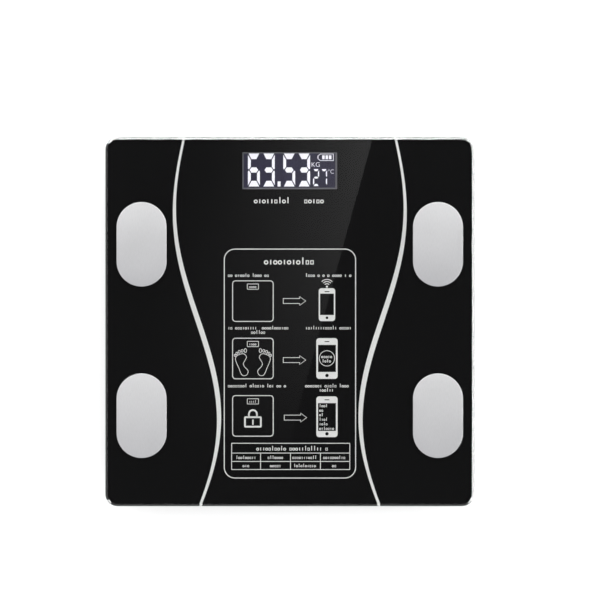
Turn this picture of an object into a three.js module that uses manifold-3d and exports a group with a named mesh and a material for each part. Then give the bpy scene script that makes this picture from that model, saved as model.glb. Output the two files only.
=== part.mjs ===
import * as THREE from 'three';
import { mergeVertices } from 'three/addons/utils/BufferGeometryUtils.js';
import Module from 'manifold-3d';

// Digital bathroom scale: a square glass platform bonded to a moulded tray that stands on four
// weighing feet. Millimetres. +Z is up, +Y points to the display edge and +X to the user's right.
// The origin is on the floor, under the middle of the platform.

// ---- Driving dimensions ----

const FIT_GAP = 0.3; // left between pieces that are cut to each other or have round faces

// Glass platform
const PLATFORM = 260; // side of the square
const PLATFORM_RADIUS = 8.8; // its corners
const GLASS_THICKNESS = 5;
const TOP_ARRIS = 1.5; // ground edge, seen from above
const LOWER_ARRIS = 0.6;
const BEAD_THICKNESS = 0.6; // silicone and foam between the tray and the glass

// Foot electrodes
const ELECTRODE_WIDTH = 35.1;
const ELECTRODE_LENGTH = 59.4;
const ELECTRODE_THICKNESS = 0.4;
const ELECTRODE_EASING = 0.12; // softened rim
const ELECTRODE_SIDE_MARGIN = 8.2; // glass edge to the electrode's straight side
const REAR_ELECTRODE_MARGIN = 75.5; // rear glass edge to the middle of the rear electrodes
const FRONT_ELECTRODE_MARGIN = 63.9; // front glass edge to the middle of the front electrodes
const STUD_RADIUS = 2;
const STUD_SHIFT = 15; // from the electrode's middle towards the platform's middle
const STUD_TAIL = 0.8; // stud that stands out of its nut
const NUT_ACROSS_FLATS = 7;
const NUT_HEIGHT = 2.2;

// Tray
const GROUND_GAP = 3.6; // floor to the tray's underside
const TRAY_INSET = 4; // glass edge to the tray's rim
const TRAY_RADIUS = 12;
const TRAY_WALL = 3;
const TRAY_FLOOR = 2;
const TRAY_DRAFT = 1.6; // the wall leans in this much from the rim down
const TRAY_EDGE = 2; // rounding between the wall and the underside
const BEAD_WIDTH = 2.2;
const RIB_PITCH = 60;
const RIB_THICKNESS = 1.6;
const RIB_HEIGHT = 3; // of the ribs along Y
const CROSS_RIB_HEIGHT = 2.4; // of the ribs along X

// Feet and load cells
const FOOT_INSET = 38; // glass edge to the middle of a foot
const FOOT_RADIUS = 20;
const FOOT_TRAVEL = 0.5; // at a full load on the load cell
const FOOT_SKIRT_WALL = 2;
const SKIRT_CLEARANCE = 1.5; // under the load cell when the foot is pressed home
const FOOT_FLOOR = 1.8;
const PAD_THICKNESS = 1.6;
const PAD_RECESS = 0.8;
const PAD_CHAMFER = 0.4;
const PAD_RIM = 1.7; // foot cap left outside the rubber pad
const POCKET_GAP = 1; // around a foot
const POCKET_WALL = 2.5;
const POCKET_CEILING = 2;
const LOAD_CELL = 30; // side of the square plate
const LOAD_CELL_RADIUS = 5;
const LOAD_CELL_THICKNESS = 2;
const TONGUE_WIDTH = 12;
const TONGUE_SLOT = 1.5;
const TONGUE_REACH = 18;
const SEAT_HEIGHT = 3.2; // rib that the load cell presses on
const SEAT_WIDTH = 2.5;
const BOSS_RADIUS = 5;
const DISC_RADIUS = 18;

// Batteries, bay and door
const CELL_DIAMETER = 10.5;
const CELL_LENGTH = 44.5;
const CELL_NUB_RADIUS = 1.9;
const CELL_NUB_LENGTH = 0.8;
const CELL_RIM = 0.6; // chamfer at each end
const CELL_GAP = 0.6; // between the two cells
const CELL_SIDE_GAP = 0.5;
const CONTACT_THICKNESS = 0.4;
const CONTACT_SIZE = 8;
const SPRING_LENGTH = 4;
const SPRING_RADIUS = 3;
const SPRING_TIP_RADIUS = 2;
const SPRING_WIRE_RADIUS = 0.35;
const SPRING_TURNS = 2.5;
const SOLDER_TAB_WIDTH = 2.4;
const SOLDER_TAB_LENGTH = 1.2; // outside the bay
const BAY_TO_BOARD = 32.9; // rear side of the door opening to the board
const BAY_WALL = 1.6;
const BAY_CEILING = 1.1;
const DOOR_THICKNESS = 1.6;
const DOOR_LEDGE = 3; // tray left around the bay for the door to close on
const LEDGE_THICKNESS = 1.5;
const LIP_WIDTH = 3.2; // tray outside the door opening
const HOOK_X = 15;
const HOOK_WIDTH = 6;
const HOOK_REACH = 2.6; // over the lip
const HOOK_THICKNESS = 1.2;
const HOOK_NECK = 1.8;
const HOOK_SWING = 1.3; // room above a hook for it to turn in
const LATCH_WIDTH = 10;
const LATCH_LENGTH = 7;
const LATCH_SLIT = 1;
const LATCH_RIDGE = 0.6;
const LATCH_RIDGE_WIDTH = 1.2;
const THUMB_RADIUS = 7;
const THUMB_DEPTH = 1.2;

// Display
const WINDOW_WIDTH = 66.8;
const WINDOW_DEPTH = 26;
const DISPLAY_MARGIN = 23.6; // rear glass edge to the middle of the display
const LCD_BORDER = 0.6;
const LCD_THICKNESS = 2.7;
const BACKLIGHT_THICKNESS = 2.7;
const LCD_CONNECTOR_DEPTH = 2;
const LCD_CONNECTOR_END = 4; // from the connector's end to the frame's
const FRAME_WALL = 0.9;
const FRAME_LEDGE = 1.1;

// Circuit board and switch
const BOARD_THICKNESS = 1.6;
const BOARD_DEPTH = 44;
const BOARD_SIDE = 7.8; // board outside the display frame at each end
const BOSS_INSET = 3.5; // board edge to a screw
const SCREW_BOSS_RADIUS = 3;
const SCREW_RADIUS = 1;
const SCREW_LENGTH = 5;
const SCREW_HEAD_RADIUS = 2.2;
const SCREW_HEAD_HEIGHT = 1.4;
const CHIP_SIZE = 9;
const CHIP_HEIGHT = 1.4;
const CHIP_X = 5;
const RADIO_WIDTH = 14;
const RADIO_DEPTH = 9;
const RADIO_HEIGHT = 1.8;
const RADIO_X = -11;
const CHIP_ROW = 8; // front edge of the board to the middle of the chips
const SWITCH_SIZE = 6;
const SWITCH_HEIGHT = 2.4;
const SWITCH_TRAVEL = 0.5;
const PLUNGER_RADIUS = 1.6;
const PLUNGER_OUT = 0.9; // out of the switch at rest
const PLUNGER_IN = 1;
const BUTTON_X = 25;
const BUTTON_RADIUS = 4;
const BUTTON_PROUD = 0.4; // below the tray's underside
const BUTTON_FLANGE_RADIUS = 5.4;
const BUTTON_FLANGE = 0.5;
const BUTTON_STEM_RADIUS = 2;
const BUTTON_SEAT_GAP = 0.1;
const BUTTON_CHAMFER = 0.3;

// Wiring
const WIRE_RADIUS = 0.8;
const WIRE_HEIGHT = 10.8; // along the tray, above the ribs
const WIRE_NOTCH = 4;
const TERMINAL_PITCH = 4;
const FIRST_TERMINAL_X = 14;
const TERMINAL_REACH = 3; // over the board
const LEAD_FALL = 14; // an electrode's lead comes down to the tray over this length
const REAR_LEAD_SHIFT = 1; // where a rear load cell's lead meets the board's end
const LANE_TURN = 0.25; // lanes turn in to their terminals this share of the way from bay to board

// Smoothness of round shapes
const CORNER_STEPS = 4;
const ROUND_SIDES = 36;
const SMALL_SIDES = 16;
const WIRE_SIDES = 6;
const LEAD_STEPS = 22;
const BATTERY_LEAD_STEPS = 14;
const SPRING_STEPS = 10; // in each turn

const OVER = 1; // how far a cut runs past the faces it opens, and a rib into the wall it stands on

// ---- Sizes that follow ----

const BAY_LENGTH = CELL_LENGTH + SPRING_LENGTH + 2 * CONTACT_THICKNESS + 2 * FIT_GAP;
const CELL_PITCH = CELL_DIAMETER + CELL_GAP;
const BAY_DEPTH = CELL_PITCH + CELL_DIAMETER + 2 * CELL_SIDE_GAP;
const DOOR_OPENING_LENGTH = BAY_LENGTH + 2 * DOOR_LEDGE;
const DOOR_OPENING_DEPTH = BAY_DEPTH + 2 * DOOR_LEDGE;
const FRAME_LENGTH = WINDOW_WIDTH + 2 * (LCD_BORDER + FIT_GAP + FRAME_WALL);
const FRAME_DEPTH = WINDOW_DEPTH + 2 * (LCD_BORDER + FIT_GAP + FRAME_WALL);
const FRAME_HEIGHT = BACKLIGHT_THICKNESS + FIT_GAP + LCD_THICKNESS + FIT_GAP;
const BOARD_LENGTH = FRAME_LENGTH + 2 * BOARD_SIDE;

// The tray is as high as the taller of what it holds: the battery bay, or the display on its board.
const BAY_STACK = DOOR_THICKNESS + FIT_GAP + CELL_DIAMETER + FIT_GAP + BAY_CEILING;
const BUTTON_STACK = TRAY_FLOOR + BUTTON_SEAT_GAP + BUTTON_FLANGE + PLUNGER_OUT + SWITCH_HEIGHT;
const DISPLAY_STACK = BUTTON_STACK + BOARD_THICKNESS + FRAME_HEIGHT - BEAD_THICKNESS;
const TRAY_HEIGHT = Math.max(BAY_STACK, DISPLAY_STACK);

// Heights above the floor
const TRAY_FLOOR_TOP = GROUND_GAP + TRAY_FLOOR;
const TRAY_TOP = GROUND_GAP + TRAY_HEIGHT;
const GLASS_BOTTOM = TRAY_TOP + BEAD_THICKNESS;
const GLASS_TOP = GLASS_BOTTOM + GLASS_THICKNESS;
const BOARD_TOP = GLASS_BOTTOM - FRAME_HEIGHT;
const BOARD_BOTTOM = BOARD_TOP - BOARD_THICKNESS;
const LCD_BOTTOM = BOARD_TOP + BACKLIGHT_THICKNESS + FIT_GAP;
const DOOR_TOP = GROUND_GAP + DOOR_THICKNESS;
const LEDGE_BOTTOM = DOOR_TOP + FIT_GAP;
const LEDGE_TOP = LEDGE_BOTTOM + LEDGE_THICKNESS;
const CELL_AXIS = DOOR_TOP + FIT_GAP + CELL_DIAMETER / 2;
const BAY_TOP = CELL_AXIS + CELL_DIAMETER / 2 + FIT_GAP;
const HOOK_BOTTOM = LEDGE_BOTTOM + FIT_GAP;
const HOOK_TOP = HOOK_BOTTOM + HOOK_THICKNESS;
const POCKET_TOP = TRAY_TOP - POCKET_CEILING;
const LOAD_CELL_TOP = POCKET_TOP - SEAT_HEIGHT;
const LOAD_CELL_BOTTOM = LOAD_CELL_TOP - LOAD_CELL_THICKNESS;
const FOOT_BOTTOM = PAD_THICKNESS - PAD_RECESS;
const FOOT_TOP = LOAD_CELL_BOTTOM - FOOT_TRAVEL - SKIRT_CLEARANCE;
const SWITCH_BOTTOM = BOARD_BOTTOM - SWITCH_HEIGHT;
const PLUNGER_BOTTOM = SWITCH_BOTTOM - PLUNGER_OUT;
const BUTTON_SEAT = TRAY_FLOOR_TOP + BUTTON_SEAT_GAP;
const TERMINAL_HEIGHT = BOARD_TOP + WIRE_RADIUS + FIT_GAP;
const UNIT_BUTTON_BOTTOM = GROUND_GAP - BUTTON_PROUD;

// Places in plan
const HALF = PLATFORM / 2;
const TRAY_SIDE = PLATFORM - 2 * TRAY_INSET;
const FOOT_CENTRE = HALF - FOOT_INSET;
const POCKET_RADIUS = FOOT_RADIUS + POCKET_GAP;
const ELECTRODE_X = HALF - ELECTRODE_SIDE_MARGIN - ELECTRODE_WIDTH / 2;
const DISPLAY_Y = HALF - DISPLAY_MARGIN;
const BOARD_REAR = DISPLAY_Y + FRAME_DEPTH / 2;
const BOARD_FRONT = BOARD_REAR - BOARD_DEPTH;
const BAY_Y = BOARD_FRONT - BAY_TO_BOARD - DOOR_OPENING_DEPTH / 2;
const DOOR_HINGE_Y = BAY_Y - DOOR_OPENING_DEPTH / 2 + FIT_GAP;
const BAY_END = BAY_LENGTH / 2;
const BATTERY_LEAD_START = BAY_END + BAY_WALL + SOLDER_TAB_LENGTH + WIRE_RADIUS + FIT_GAP;
const BATTERY_LANE = BATTERY_LEAD_START + TERMINAL_PITCH;
const FRONT_LANE = BATTERY_LANE + 1.5 * TERMINAL_PITCH;
const LANE_TURN_Y = THREE.MathUtils.lerp(BAY_Y + DOOR_OPENING_DEPTH / 2, BOARD_FRONT, LANE_TURN);

// Room inside the display frame's ledge
const FRAME_ROOM_LENGTH = FRAME_LENGTH - 2 * (FRAME_WALL + FRAME_LEDGE + FIT_GAP);
const FRAME_ROOM_FRONT = DISPLAY_Y - FRAME_DEPTH / 2 + FRAME_WALL + FRAME_LEDGE + FIT_GAP;

const CORNERS = [
  { place: 'rear_left', x: -1, y: 1 },
  { place: 'rear_right', x: 1, y: 1 },
  { place: 'front_left', x: -1, y: -1 },
  { place: 'front_right', x: 1, y: -1 },
];

function electrodeCentre(corner) {
  const margin = corner.y > 0 ? REAR_ELECTRODE_MARGIN : FRONT_ELECTRODE_MARGIN;
  return { x: corner.x * ELECTRODE_X, y: corner.y * (HALF - margin) };
}

function studCentre(corner) {
  const { x, y } = electrodeCentre(corner);
  return { x, y: y - corner.y * STUD_SHIFT };
}

const BOARD_SCREWS = CORNERS.map((corner) => ({
  ...corner,
  x: corner.x * (BOARD_LENGTH / 2 - BOSS_INSET),
  y: corner.y > 0 ? BOARD_REAR - BOSS_INSET : BOARD_FRONT + BOSS_INSET,
}));

// ---- Shapes ----

const wasm = await Module();
wasm.setup();

/** A closed geometry as a solid that can be joined and cut. */
function toSolid(geometry) {
  const bare = geometry.clone();
  bare.deleteAttribute('normal');
  bare.deleteAttribute('uv');
  const welded = mergeVertices(bare);
  const corners = welded.index.array;
  const triangles = [];
  for (let i = 0; i < corners.length; i += 3) {
    const [a, b, c] = corners.slice(i, i + 3);
    if (a !== b && b !== c && c !== a) triangles.push(a, b, c);
  }
  return new wasm.Manifold(new wasm.Mesh({
    numProp: 3,
    vertProperties: welded.attributes.position.array,
    triVerts: new Uint32Array(triangles),
  }));
}

/** The geometries in whole joined into one, less every geometry in removed. */
function carve(whole, removed = []) {
  let solid = whole.map(toSolid).reduce((joined, piece) => joined.add(piece));
  for (const tool of removed) solid = solid.subtract(toSolid(tool));
  const { vertProperties, triVerts } = solid.getMesh();
  const geometry = new THREE.BufferGeometry();
  geometry.setAttribute('position', new THREE.BufferAttribute(vertProperties, 3));
  geometry.setIndex(new THREE.BufferAttribute(triVerts, 1));
  return geometry;
}

function roundedRectangle(width, depth, radius) {
  const right = width / 2 - radius;
  const rear = depth / 2 - radius;
  const quarter = Math.PI / 2;
  return new THREE.Shape()
    .absarc(right, rear, radius, 0, quarter)
    .absarc(-right, rear, radius, quarter, 2 * quarter)
    .absarc(-right, -rear, radius, 2 * quarter, 3 * quarter)
    .absarc(right, -rear, radius, 3 * quarter, 4 * quarter);
}

/** A flat plate with a drawn outline, between two heights. */
function plate(outline, low, high) {
  const settings = { depth: high - low, bevelEnabled: false, curveSegments: CORNER_STEPS };
  return new THREE.ExtrudeGeometry(outline, settings).translate(0, 0, low);
}

function block(width, depth, low, high, x = 0, y = 0) {
  return new THREE.BoxGeometry(width, depth, high - low).translate(x, y, (low + high) / 2);
}

function cylinder(radius, low, high, x = 0, y = 0, sides = ROUND_SIDES) {
  const upright = new THREE.CylinderGeometry(radius, radius, high - low, sides).rotateX(Math.PI / 2);
  return upright.translate(x, y, (low + high) / 2);
}

/** A turned solid; the profile is a list of [radius, height] from the bottom of the axis to its top. */
function turned(profile, sides = ROUND_SIDES) {
  const points = profile.map(([radius, height]) => new THREE.Vector2(radius, height));
  return new THREE.LatheGeometry(points, sides).rotateX(Math.PI / 2);
}

/** A rounded square whose side steps in and out; the profile is a list of [height, inset], rising. */
function insetSquare(side, radius, profile) {
  const steps = profile.length - 1;
  const settings = { depth: steps, steps, bevelEnabled: false, curveSegments: CORNER_STEPS };
  const geometry = new THREE.ExtrudeGeometry(roundedRectangle(side, side, radius), settings);
  const places = geometry.attributes.position;
  for (let i = 0; i < places.count; i++) {
    const [height, inset] = profile[Math.round(places.getZ(i))];
    const shrink = (radius - inset) / radius;
    const cornerX = Math.sign(places.getX(i)) * (side / 2 - radius);
    const cornerY = Math.sign(places.getY(i)) * (side / 2 - radius);
    const x = cornerX + (places.getX(i) - cornerX) * shrink;
    const y = cornerY + (places.getY(i) - cornerY) * shrink;
    places.setXYZ(i, x, y, height);
  }
  return geometry;
}

/** Round wire on a smooth route through the points. */
function wire(points, radius, steps) {
  const route = new THREE.CatmullRomCurve3(points.map((point) => new THREE.Vector3(...point)));
  const section = new THREE.Shape().absarc(0, 0, radius, 0, 2 * Math.PI);
  const settings = { steps, curveSegments: WIRE_SIDES / 2, bevelEnabled: false, extrudePath: route };
  return new THREE.ExtrudeGeometry(section, settings);
}

// ---- Glass and electrodes ----

function glassPlatform() {
  const profile = [
    [GLASS_BOTTOM, LOWER_ARRIS],
    [GLASS_BOTTOM + LOWER_ARRIS, 0],
    [GLASS_TOP - TOP_ARRIS, 0],
    [GLASS_TOP, TOP_ARRIS],
  ];
  const holes = CORNERS.map(studCentre).map(({ x, y }) =>
    cylinder(STUD_RADIUS + FIT_GAP, GLASS_BOTTOM - OVER, GLASS_TOP + OVER, x, y, SMALL_SIDES));
  return carve([insetSquare(PLATFORM, PLATFORM_RADIUS, profile)], holes);
}

/** Stadium plate with a softened rim, and the stud that carries its current through the glass. */
function electrode(studY) {
  const top = GLASS_TOP + ELECTRODE_THICKNESS;
  const outline = roundedRectangle(ELECTRODE_WIDTH, ELECTRODE_LENGTH, ELECTRODE_WIDTH / 2);
  const eased = roundedRectangle(
    ELECTRODE_WIDTH - 2 * ELECTRODE_EASING,
    ELECTRODE_LENGTH - 2 * ELECTRODE_EASING,
    ELECTRODE_WIDTH / 2 - ELECTRODE_EASING,
  );
  const stud = cylinder(
    STUD_RADIUS, GLASS_BOTTOM - NUT_HEIGHT - STUD_TAIL, top - ELECTRODE_EASING, 0, studY, SMALL_SIDES);
  return carve([plate(outline, GLASS_TOP, top - ELECTRODE_EASING), plate(eased, GLASS_TOP, top), stud]);
}

function electrodeNut() {
  const hexagon = cylinder(
    NUT_ACROSS_FLATS / Math.sqrt(3), GLASS_BOTTOM - NUT_HEIGHT, GLASS_BOTTOM, 0, 0, 6);
  const bore = cylinder(
    STUD_RADIUS + FIT_GAP, GLASS_BOTTOM - NUT_HEIGHT - OVER, GLASS_BOTTOM + OVER, 0, 0, SMALL_SIDES);
  return carve([hexagon], [bore]);
}

function bondingBead() {
  const outer = TRAY_SIDE - (TRAY_WALL - BEAD_WIDTH);
  const inner = outer - 2 * BEAD_WIDTH;
  const outerRadius = TRAY_RADIUS - (TRAY_WALL - BEAD_WIDTH) / 2;
  const outline = roundedRectangle(outer, outer, outerRadius);
  outline.holes.push(roundedRectangle(inner, inner, outerRadius - BEAD_WIDTH));
  return plate(outline, TRAY_TOP, GLASS_BOTTOM);
}

// ---- Tray ----

/** The tray's outside: a rounded lower edge, then a wall that leans out to the rim. */
function trayOutside() {
  const profile = [];
  for (let i = 0; i <= CORNER_STEPS; i++) {
    const angle = (i / CORNER_STEPS) * (Math.PI / 2);
    const height = GROUND_GAP + TRAY_EDGE * (1 - Math.cos(angle));
    profile.push([height, TRAY_DRAFT + TRAY_EDGE * (1 - Math.sin(angle))]);
  }
  profile.push([TRAY_TOP, 0]);
  return insetSquare(TRAY_SIDE, TRAY_RADIUS, profile);
}

function trayInside() {
  return insetSquare(TRAY_SIDE, TRAY_RADIUS, [
    [TRAY_FLOOR_TOP, TRAY_DRAFT + TRAY_WALL],
    [TRAY_TOP, TRAY_WALL],
    [TRAY_TOP + OVER, TRAY_WALL],
  ]);
}

function trayRibs() {
  const span = TRAY_SIDE - 2 * (TRAY_DRAFT + TRAY_WALL) + OVER;
  const bottom = TRAY_FLOOR_TOP - OVER;
  return [-RIB_PITCH, 0, RIB_PITCH].flatMap((place) => [
    block(RIB_THICKNESS, span, bottom, TRAY_FLOOR_TOP + RIB_HEIGHT, place, 0),
    block(span, RIB_THICKNESS, bottom, TRAY_FLOOR_TOP + CROSS_RIB_HEIGHT, 0, place),
  ]);
}

/** Room for a foot and its load cell, less the square rib that the load cell presses on. */
function footPocket(corner) {
  const room = cylinder(POCKET_RADIUS, GROUND_GAP - OVER, POCKET_TOP);
  const rib = block(LOAD_CELL, LOAD_CELL, LOAD_CELL_TOP, POCKET_TOP + OVER);
  const ribInside = LOAD_CELL - 2 * SEAT_WIDTH;
  const ribRoom = block(ribInside, ribInside, LOAD_CELL_TOP - OVER, POCKET_TOP);
  const notchLength = POCKET_GAP + 2 * POCKET_WALL;
  const notch = block(
    notchLength, WIRE_NOTCH, LOAD_CELL_BOTTOM - WIRE_RADIUS, POCKET_TOP,
    -corner.x * (POCKET_RADIUS + POCKET_WALL / 2), 0);
  return carve([carve([room], [rib]), ribRoom, notch])
    .translate(corner.x * FOOT_CENTRE, corner.y * FOOT_CENTRE, 0);
}

/** What is cut away for the two cells, the door that closes on a ledge, its hooks and the tabs. */
function bayCuts() {
  const cuts = [
    block(DOOR_OPENING_LENGTH, DOOR_OPENING_DEPTH, GROUND_GAP - OVER, LEDGE_BOTTOM, 0, BAY_Y),
    block(BAY_LENGTH, BAY_DEPTH, LEDGE_BOTTOM - OVER, BAY_TOP, 0, BAY_Y),
    cylinder(THUMB_RADIUS, GROUND_GAP - OVER, GROUND_GAP + THUMB_DEPTH, 0, BAY_Y + DOOR_OPENING_DEPTH / 2),
  ];
  const hookRoomFront = DOOR_HINGE_Y - HOOK_REACH - 2 * FIT_GAP;
  const hookRoomRear = BAY_Y - BAY_DEPTH / 2 + OVER;
  const neckRoomFront = DOOR_HINGE_Y - FIT_GAP;
  const hookRoomWidth = HOOK_WIDTH + 2 * FIT_GAP;
  for (const x of [-HOOK_X, HOOK_X]) {
    cuts.push(
      block(hookRoomWidth, hookRoomRear - hookRoomFront, LEDGE_BOTTOM, HOOK_TOP + HOOK_SWING,
        x, (hookRoomFront + hookRoomRear) / 2),
      block(hookRoomWidth, hookRoomRear - neckRoomFront, LEDGE_BOTTOM - OVER, LEDGE_TOP,
        x, (neckRoomFront + hookRoomRear) / 2),
    );
  }
  for (const side of [-1, 1]) {
    cuts.push(block(
      BAY_WALL + 2 * OVER, SOLDER_TAB_WIDTH + 2 * FIT_GAP,
      CELL_AXIS - CONTACT_THICKNESS / 2 - FIT_GAP, CELL_AXIS + CONTACT_THICKNESS / 2 + FIT_GAP,
      BAY_END + BAY_WALL / 2, BAY_Y + side * CELL_PITCH / 2));
  }
  return cuts;
}

function baseShell() {
  const bayOuterLength = BAY_LENGTH + 2 * BAY_WALL;
  const bayOuterDepth = BAY_DEPTH + 2 * BAY_WALL;
  const added = [
    ...trayRibs(),
    block(bayOuterLength, bayOuterDepth, TRAY_FLOOR_TOP - OVER, TRAY_TOP, 0, BAY_Y),
    block(DOOR_OPENING_LENGTH + 2 * LIP_WIDTH, DOOR_OPENING_DEPTH + 2 * LIP_WIDTH,
      TRAY_FLOOR_TOP - OVER, LEDGE_TOP, 0, BAY_Y),
    ...CORNERS.map(({ x, y }) => cylinder(
      POCKET_RADIUS + POCKET_WALL, TRAY_FLOOR_TOP - OVER, TRAY_TOP, x * FOOT_CENTRE, y * FOOT_CENTRE)),
    ...BOARD_SCREWS.map(({ x, y }) => cylinder(
      SCREW_BOSS_RADIUS, TRAY_FLOOR_TOP - OVER, BOARD_BOTTOM, x, y, SMALL_SIDES)),
  ];
  const removed = [
    ...CORNERS.map(footPocket),
    ...bayCuts(),
    ...BOARD_SCREWS.map(({ x, y }) => cylinder(
      SCREW_RADIUS + FIT_GAP, BOARD_TOP - SCREW_LENGTH - FIT_GAP, BOARD_TOP, x, y, SMALL_SIDES)),
    cylinder(BUTTON_RADIUS + FIT_GAP, GROUND_GAP - OVER, TRAY_FLOOR_TOP + OVER, BUTTON_X, DISPLAY_Y),
  ];
  return carve([carve([trayOutside()], [trayInside()]), ...added], removed);
}

// ---- Feet ----

/** Square plate with a tongue between the arms of a U-shaped slot. */
function loadCell() {
  const outline = roundedRectangle(LOAD_CELL, LOAD_CELL, LOAD_CELL_RADIUS);
  const inner = TONGUE_WIDTH / 2;
  const outer = inner + TONGUE_SLOT;
  const root = -TONGUE_REACH / 2;
  const tip = TONGUE_REACH / 2;
  const slot = [
    [-outer, root], [-outer, tip], [outer, tip], [outer, root],
    [inner, root], [inner, tip - TONGUE_SLOT], [-inner, tip - TONGUE_SLOT], [-inner, root],
  ];
  outline.holes.push(new THREE.Path(slot.map(([x, y]) => new THREE.Vector2(x, y))));
  return plate(outline, LOAD_CELL_BOTTOM, LOAD_CELL_TOP);
}

/** Upturned cup with the boss that presses on the load cell's tongue. */
function footCap() {
  const padRoom = FOOT_RADIUS - PAD_RIM + FIT_GAP;
  const chamfer = PAD_RECESS;
  const cupFloor = PAD_THICKNESS + FOOT_FLOOR;
  return turned([
    [0, PAD_THICKNESS],
    [padRoom, PAD_THICKNESS],
    [padRoom, FOOT_BOTTOM],
    [FOOT_RADIUS - chamfer, FOOT_BOTTOM],
    [FOOT_RADIUS, FOOT_BOTTOM + chamfer],
    [FOOT_RADIUS, FOOT_TOP],
    [FOOT_RADIUS - FOOT_SKIRT_WALL, FOOT_TOP],
    [FOOT_RADIUS - FOOT_SKIRT_WALL, cupFloor],
    [BOSS_RADIUS, cupFloor],
    [BOSS_RADIUS, LOAD_CELL_BOTTOM],
    [0, LOAD_CELL_BOTTOM],
  ]);
}

function footPad() {
  const radius = FOOT_RADIUS - PAD_RIM;
  return turned([
    [0, 0],
    [radius - PAD_CHAMFER, 0],
    [radius, PAD_CHAMFER],
    [radius, PAD_THICKNESS],
    [0, PAD_THICKNESS],
  ]);
}

// ---- Batteries and door ----

/** A cell standing on its flat end, nub up. */
function batteryCell() {
  const radius = CELL_DIAMETER / 2;
  const shoulder = CELL_LENGTH - CELL_NUB_LENGTH;
  return turned([
    [0, 0], [radius - CELL_RIM, 0], [radius, CELL_RIM],
    [radius, shoulder - CELL_RIM], [radius - CELL_RIM, shoulder],
    [CELL_NUB_RADIUS, shoulder], [CELL_NUB_RADIUS, CELL_LENGTH], [0, CELL_LENGTH],
  ], SMALL_SIDES);
}

/** Contact plate on the bay's end wall; end is -1 or 1, and y is from the middle of the bay. */
function contactPlate(end, y, depth) {
  const x = end * (BAY_END - CONTACT_THICKNESS / 2);
  const low = CELL_AXIS - CONTACT_SIZE / 2;
  return block(CONTACT_THICKNESS, depth, low, low + CONTACT_SIZE, x, BAY_Y + y);
}

/** Tapering coil from a contact plate to the flat end of a cell. */
function contactSpring(end, y) {
  const steps = SPRING_TURNS * SPRING_STEPS;
  const length = SPRING_LENGTH - SPRING_WIRE_RADIUS;
  const points = [];
  for (let i = 0; i <= steps; i++) {
    const along = i / steps;
    const angle = 2 * Math.PI * SPRING_TURNS * along;
    const radius = THREE.MathUtils.lerp(SPRING_RADIUS, SPRING_TIP_RADIUS, along);
    const x = end * (BAY_END - CONTACT_THICKNESS - length * along);
    points.push([x, BAY_Y + y + radius * Math.cos(angle), CELL_AXIS + radius * Math.sin(angle)]);
  }
  return wire(points, SPRING_WIRE_RADIUS, steps);
}

/** Strip on the contact plate that runs out through the bay's end wall. */
function solderTab(y) {
  const length = BAY_WALL + SOLDER_TAB_LENGTH + CONTACT_THICKNESS;
  return block(
    length, SOLDER_TAB_WIDTH, CELL_AXIS - CONTACT_THICKNESS / 2, CELL_AXIS + CONTACT_THICKNESS / 2,
    BAY_END - CONTACT_THICKNESS + length / 2, BAY_Y + y);
}

/** Door plate with two hooks on its hinge side, and a springy latch tongue opposite. */
function batteryDoor() {
  const length = DOOR_OPENING_LENGTH - 2 * FIT_GAP;
  const rear = BAY_Y + DOOR_OPENING_DEPTH / 2 - FIT_GAP;
  const depth = rear - DOOR_HINGE_Y;
  const whole = [block(length, depth, GROUND_GAP, DOOR_TOP, 0, (rear + DOOR_HINGE_Y) / 2)];
  for (const x of [-HOOK_X, HOOK_X]) {
    whole.push(
      block(HOOK_WIDTH, HOOK_NECK, GROUND_GAP, HOOK_TOP, x, DOOR_HINGE_Y + HOOK_NECK / 2),
      block(HOOK_WIDTH, HOOK_REACH + HOOK_NECK, HOOK_BOTTOM, HOOK_TOP,
        x, DOOR_HINGE_Y + (HOOK_NECK - HOOK_REACH) / 2),
    );
  }
  for (const row of [1, 2]) {
    const ridgeY = rear - 2 * row * LATCH_RIDGE_WIDTH;
    const ridgeBottom = GROUND_GAP - LATCH_RIDGE;
    whole.push(block(LATCH_WIDTH - LATCH_SLIT, LATCH_RIDGE_WIDTH, ridgeBottom, DOOR_TOP, 0, ridgeY));
  }
  const slits = [-1, 1].map((side) => block(
    LATCH_SLIT, LATCH_LENGTH + OVER, GROUND_GAP - OVER, DOOR_TOP + OVER,
    side * (LATCH_WIDTH + LATCH_SLIT) / 2, rear + OVER - (LATCH_LENGTH + OVER) / 2));
  return carve(whole, slits);
}

// ---- Display and electronics ----

/** Frame around the display, with a ledge that the glass panel rests on. */
function displayFrame() {
  const within = (wall, low, high) =>
    block(FRAME_LENGTH - 2 * wall, FRAME_DEPTH - 2 * wall, low, high, 0, DISPLAY_Y);
  const overLedge = within(FRAME_WALL, LCD_BOTTOM, GLASS_BOTTOM + OVER);
  const throughLedge = within(FRAME_WALL + FRAME_LEDGE, BOARD_TOP - OVER, GLASS_BOTTOM);
  return carve([within(0, BOARD_TOP, GLASS_BOTTOM)], [throughLedge, overLedge]);
}

function lcdPanel() {
  return block(
    WINDOW_WIDTH + 2 * LCD_BORDER, WINDOW_DEPTH + 2 * LCD_BORDER, LCD_BOTTOM, LCD_BOTTOM + LCD_THICKNESS,
    0, DISPLAY_Y);
}

/** Light guide behind the panel; it leaves room for the connector along its front side. */
function backlightGuide() {
  const front = FRAME_ROOM_FRONT + LCD_CONNECTOR_DEPTH + FIT_GAP;
  const rear = 2 * DISPLAY_Y - FRAME_ROOM_FRONT;
  return block(
    FRAME_ROOM_LENGTH, rear - front, BOARD_TOP, BOARD_TOP + BACKLIGHT_THICKNESS, 0, (front + rear) / 2);
}

function lcdConnector() {
  return block(
    FRAME_ROOM_LENGTH - 2 * LCD_CONNECTOR_END, LCD_CONNECTOR_DEPTH, BOARD_TOP, LCD_BOTTOM,
    0, FRAME_ROOM_FRONT + LCD_CONNECTOR_DEPTH / 2);
}

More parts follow.
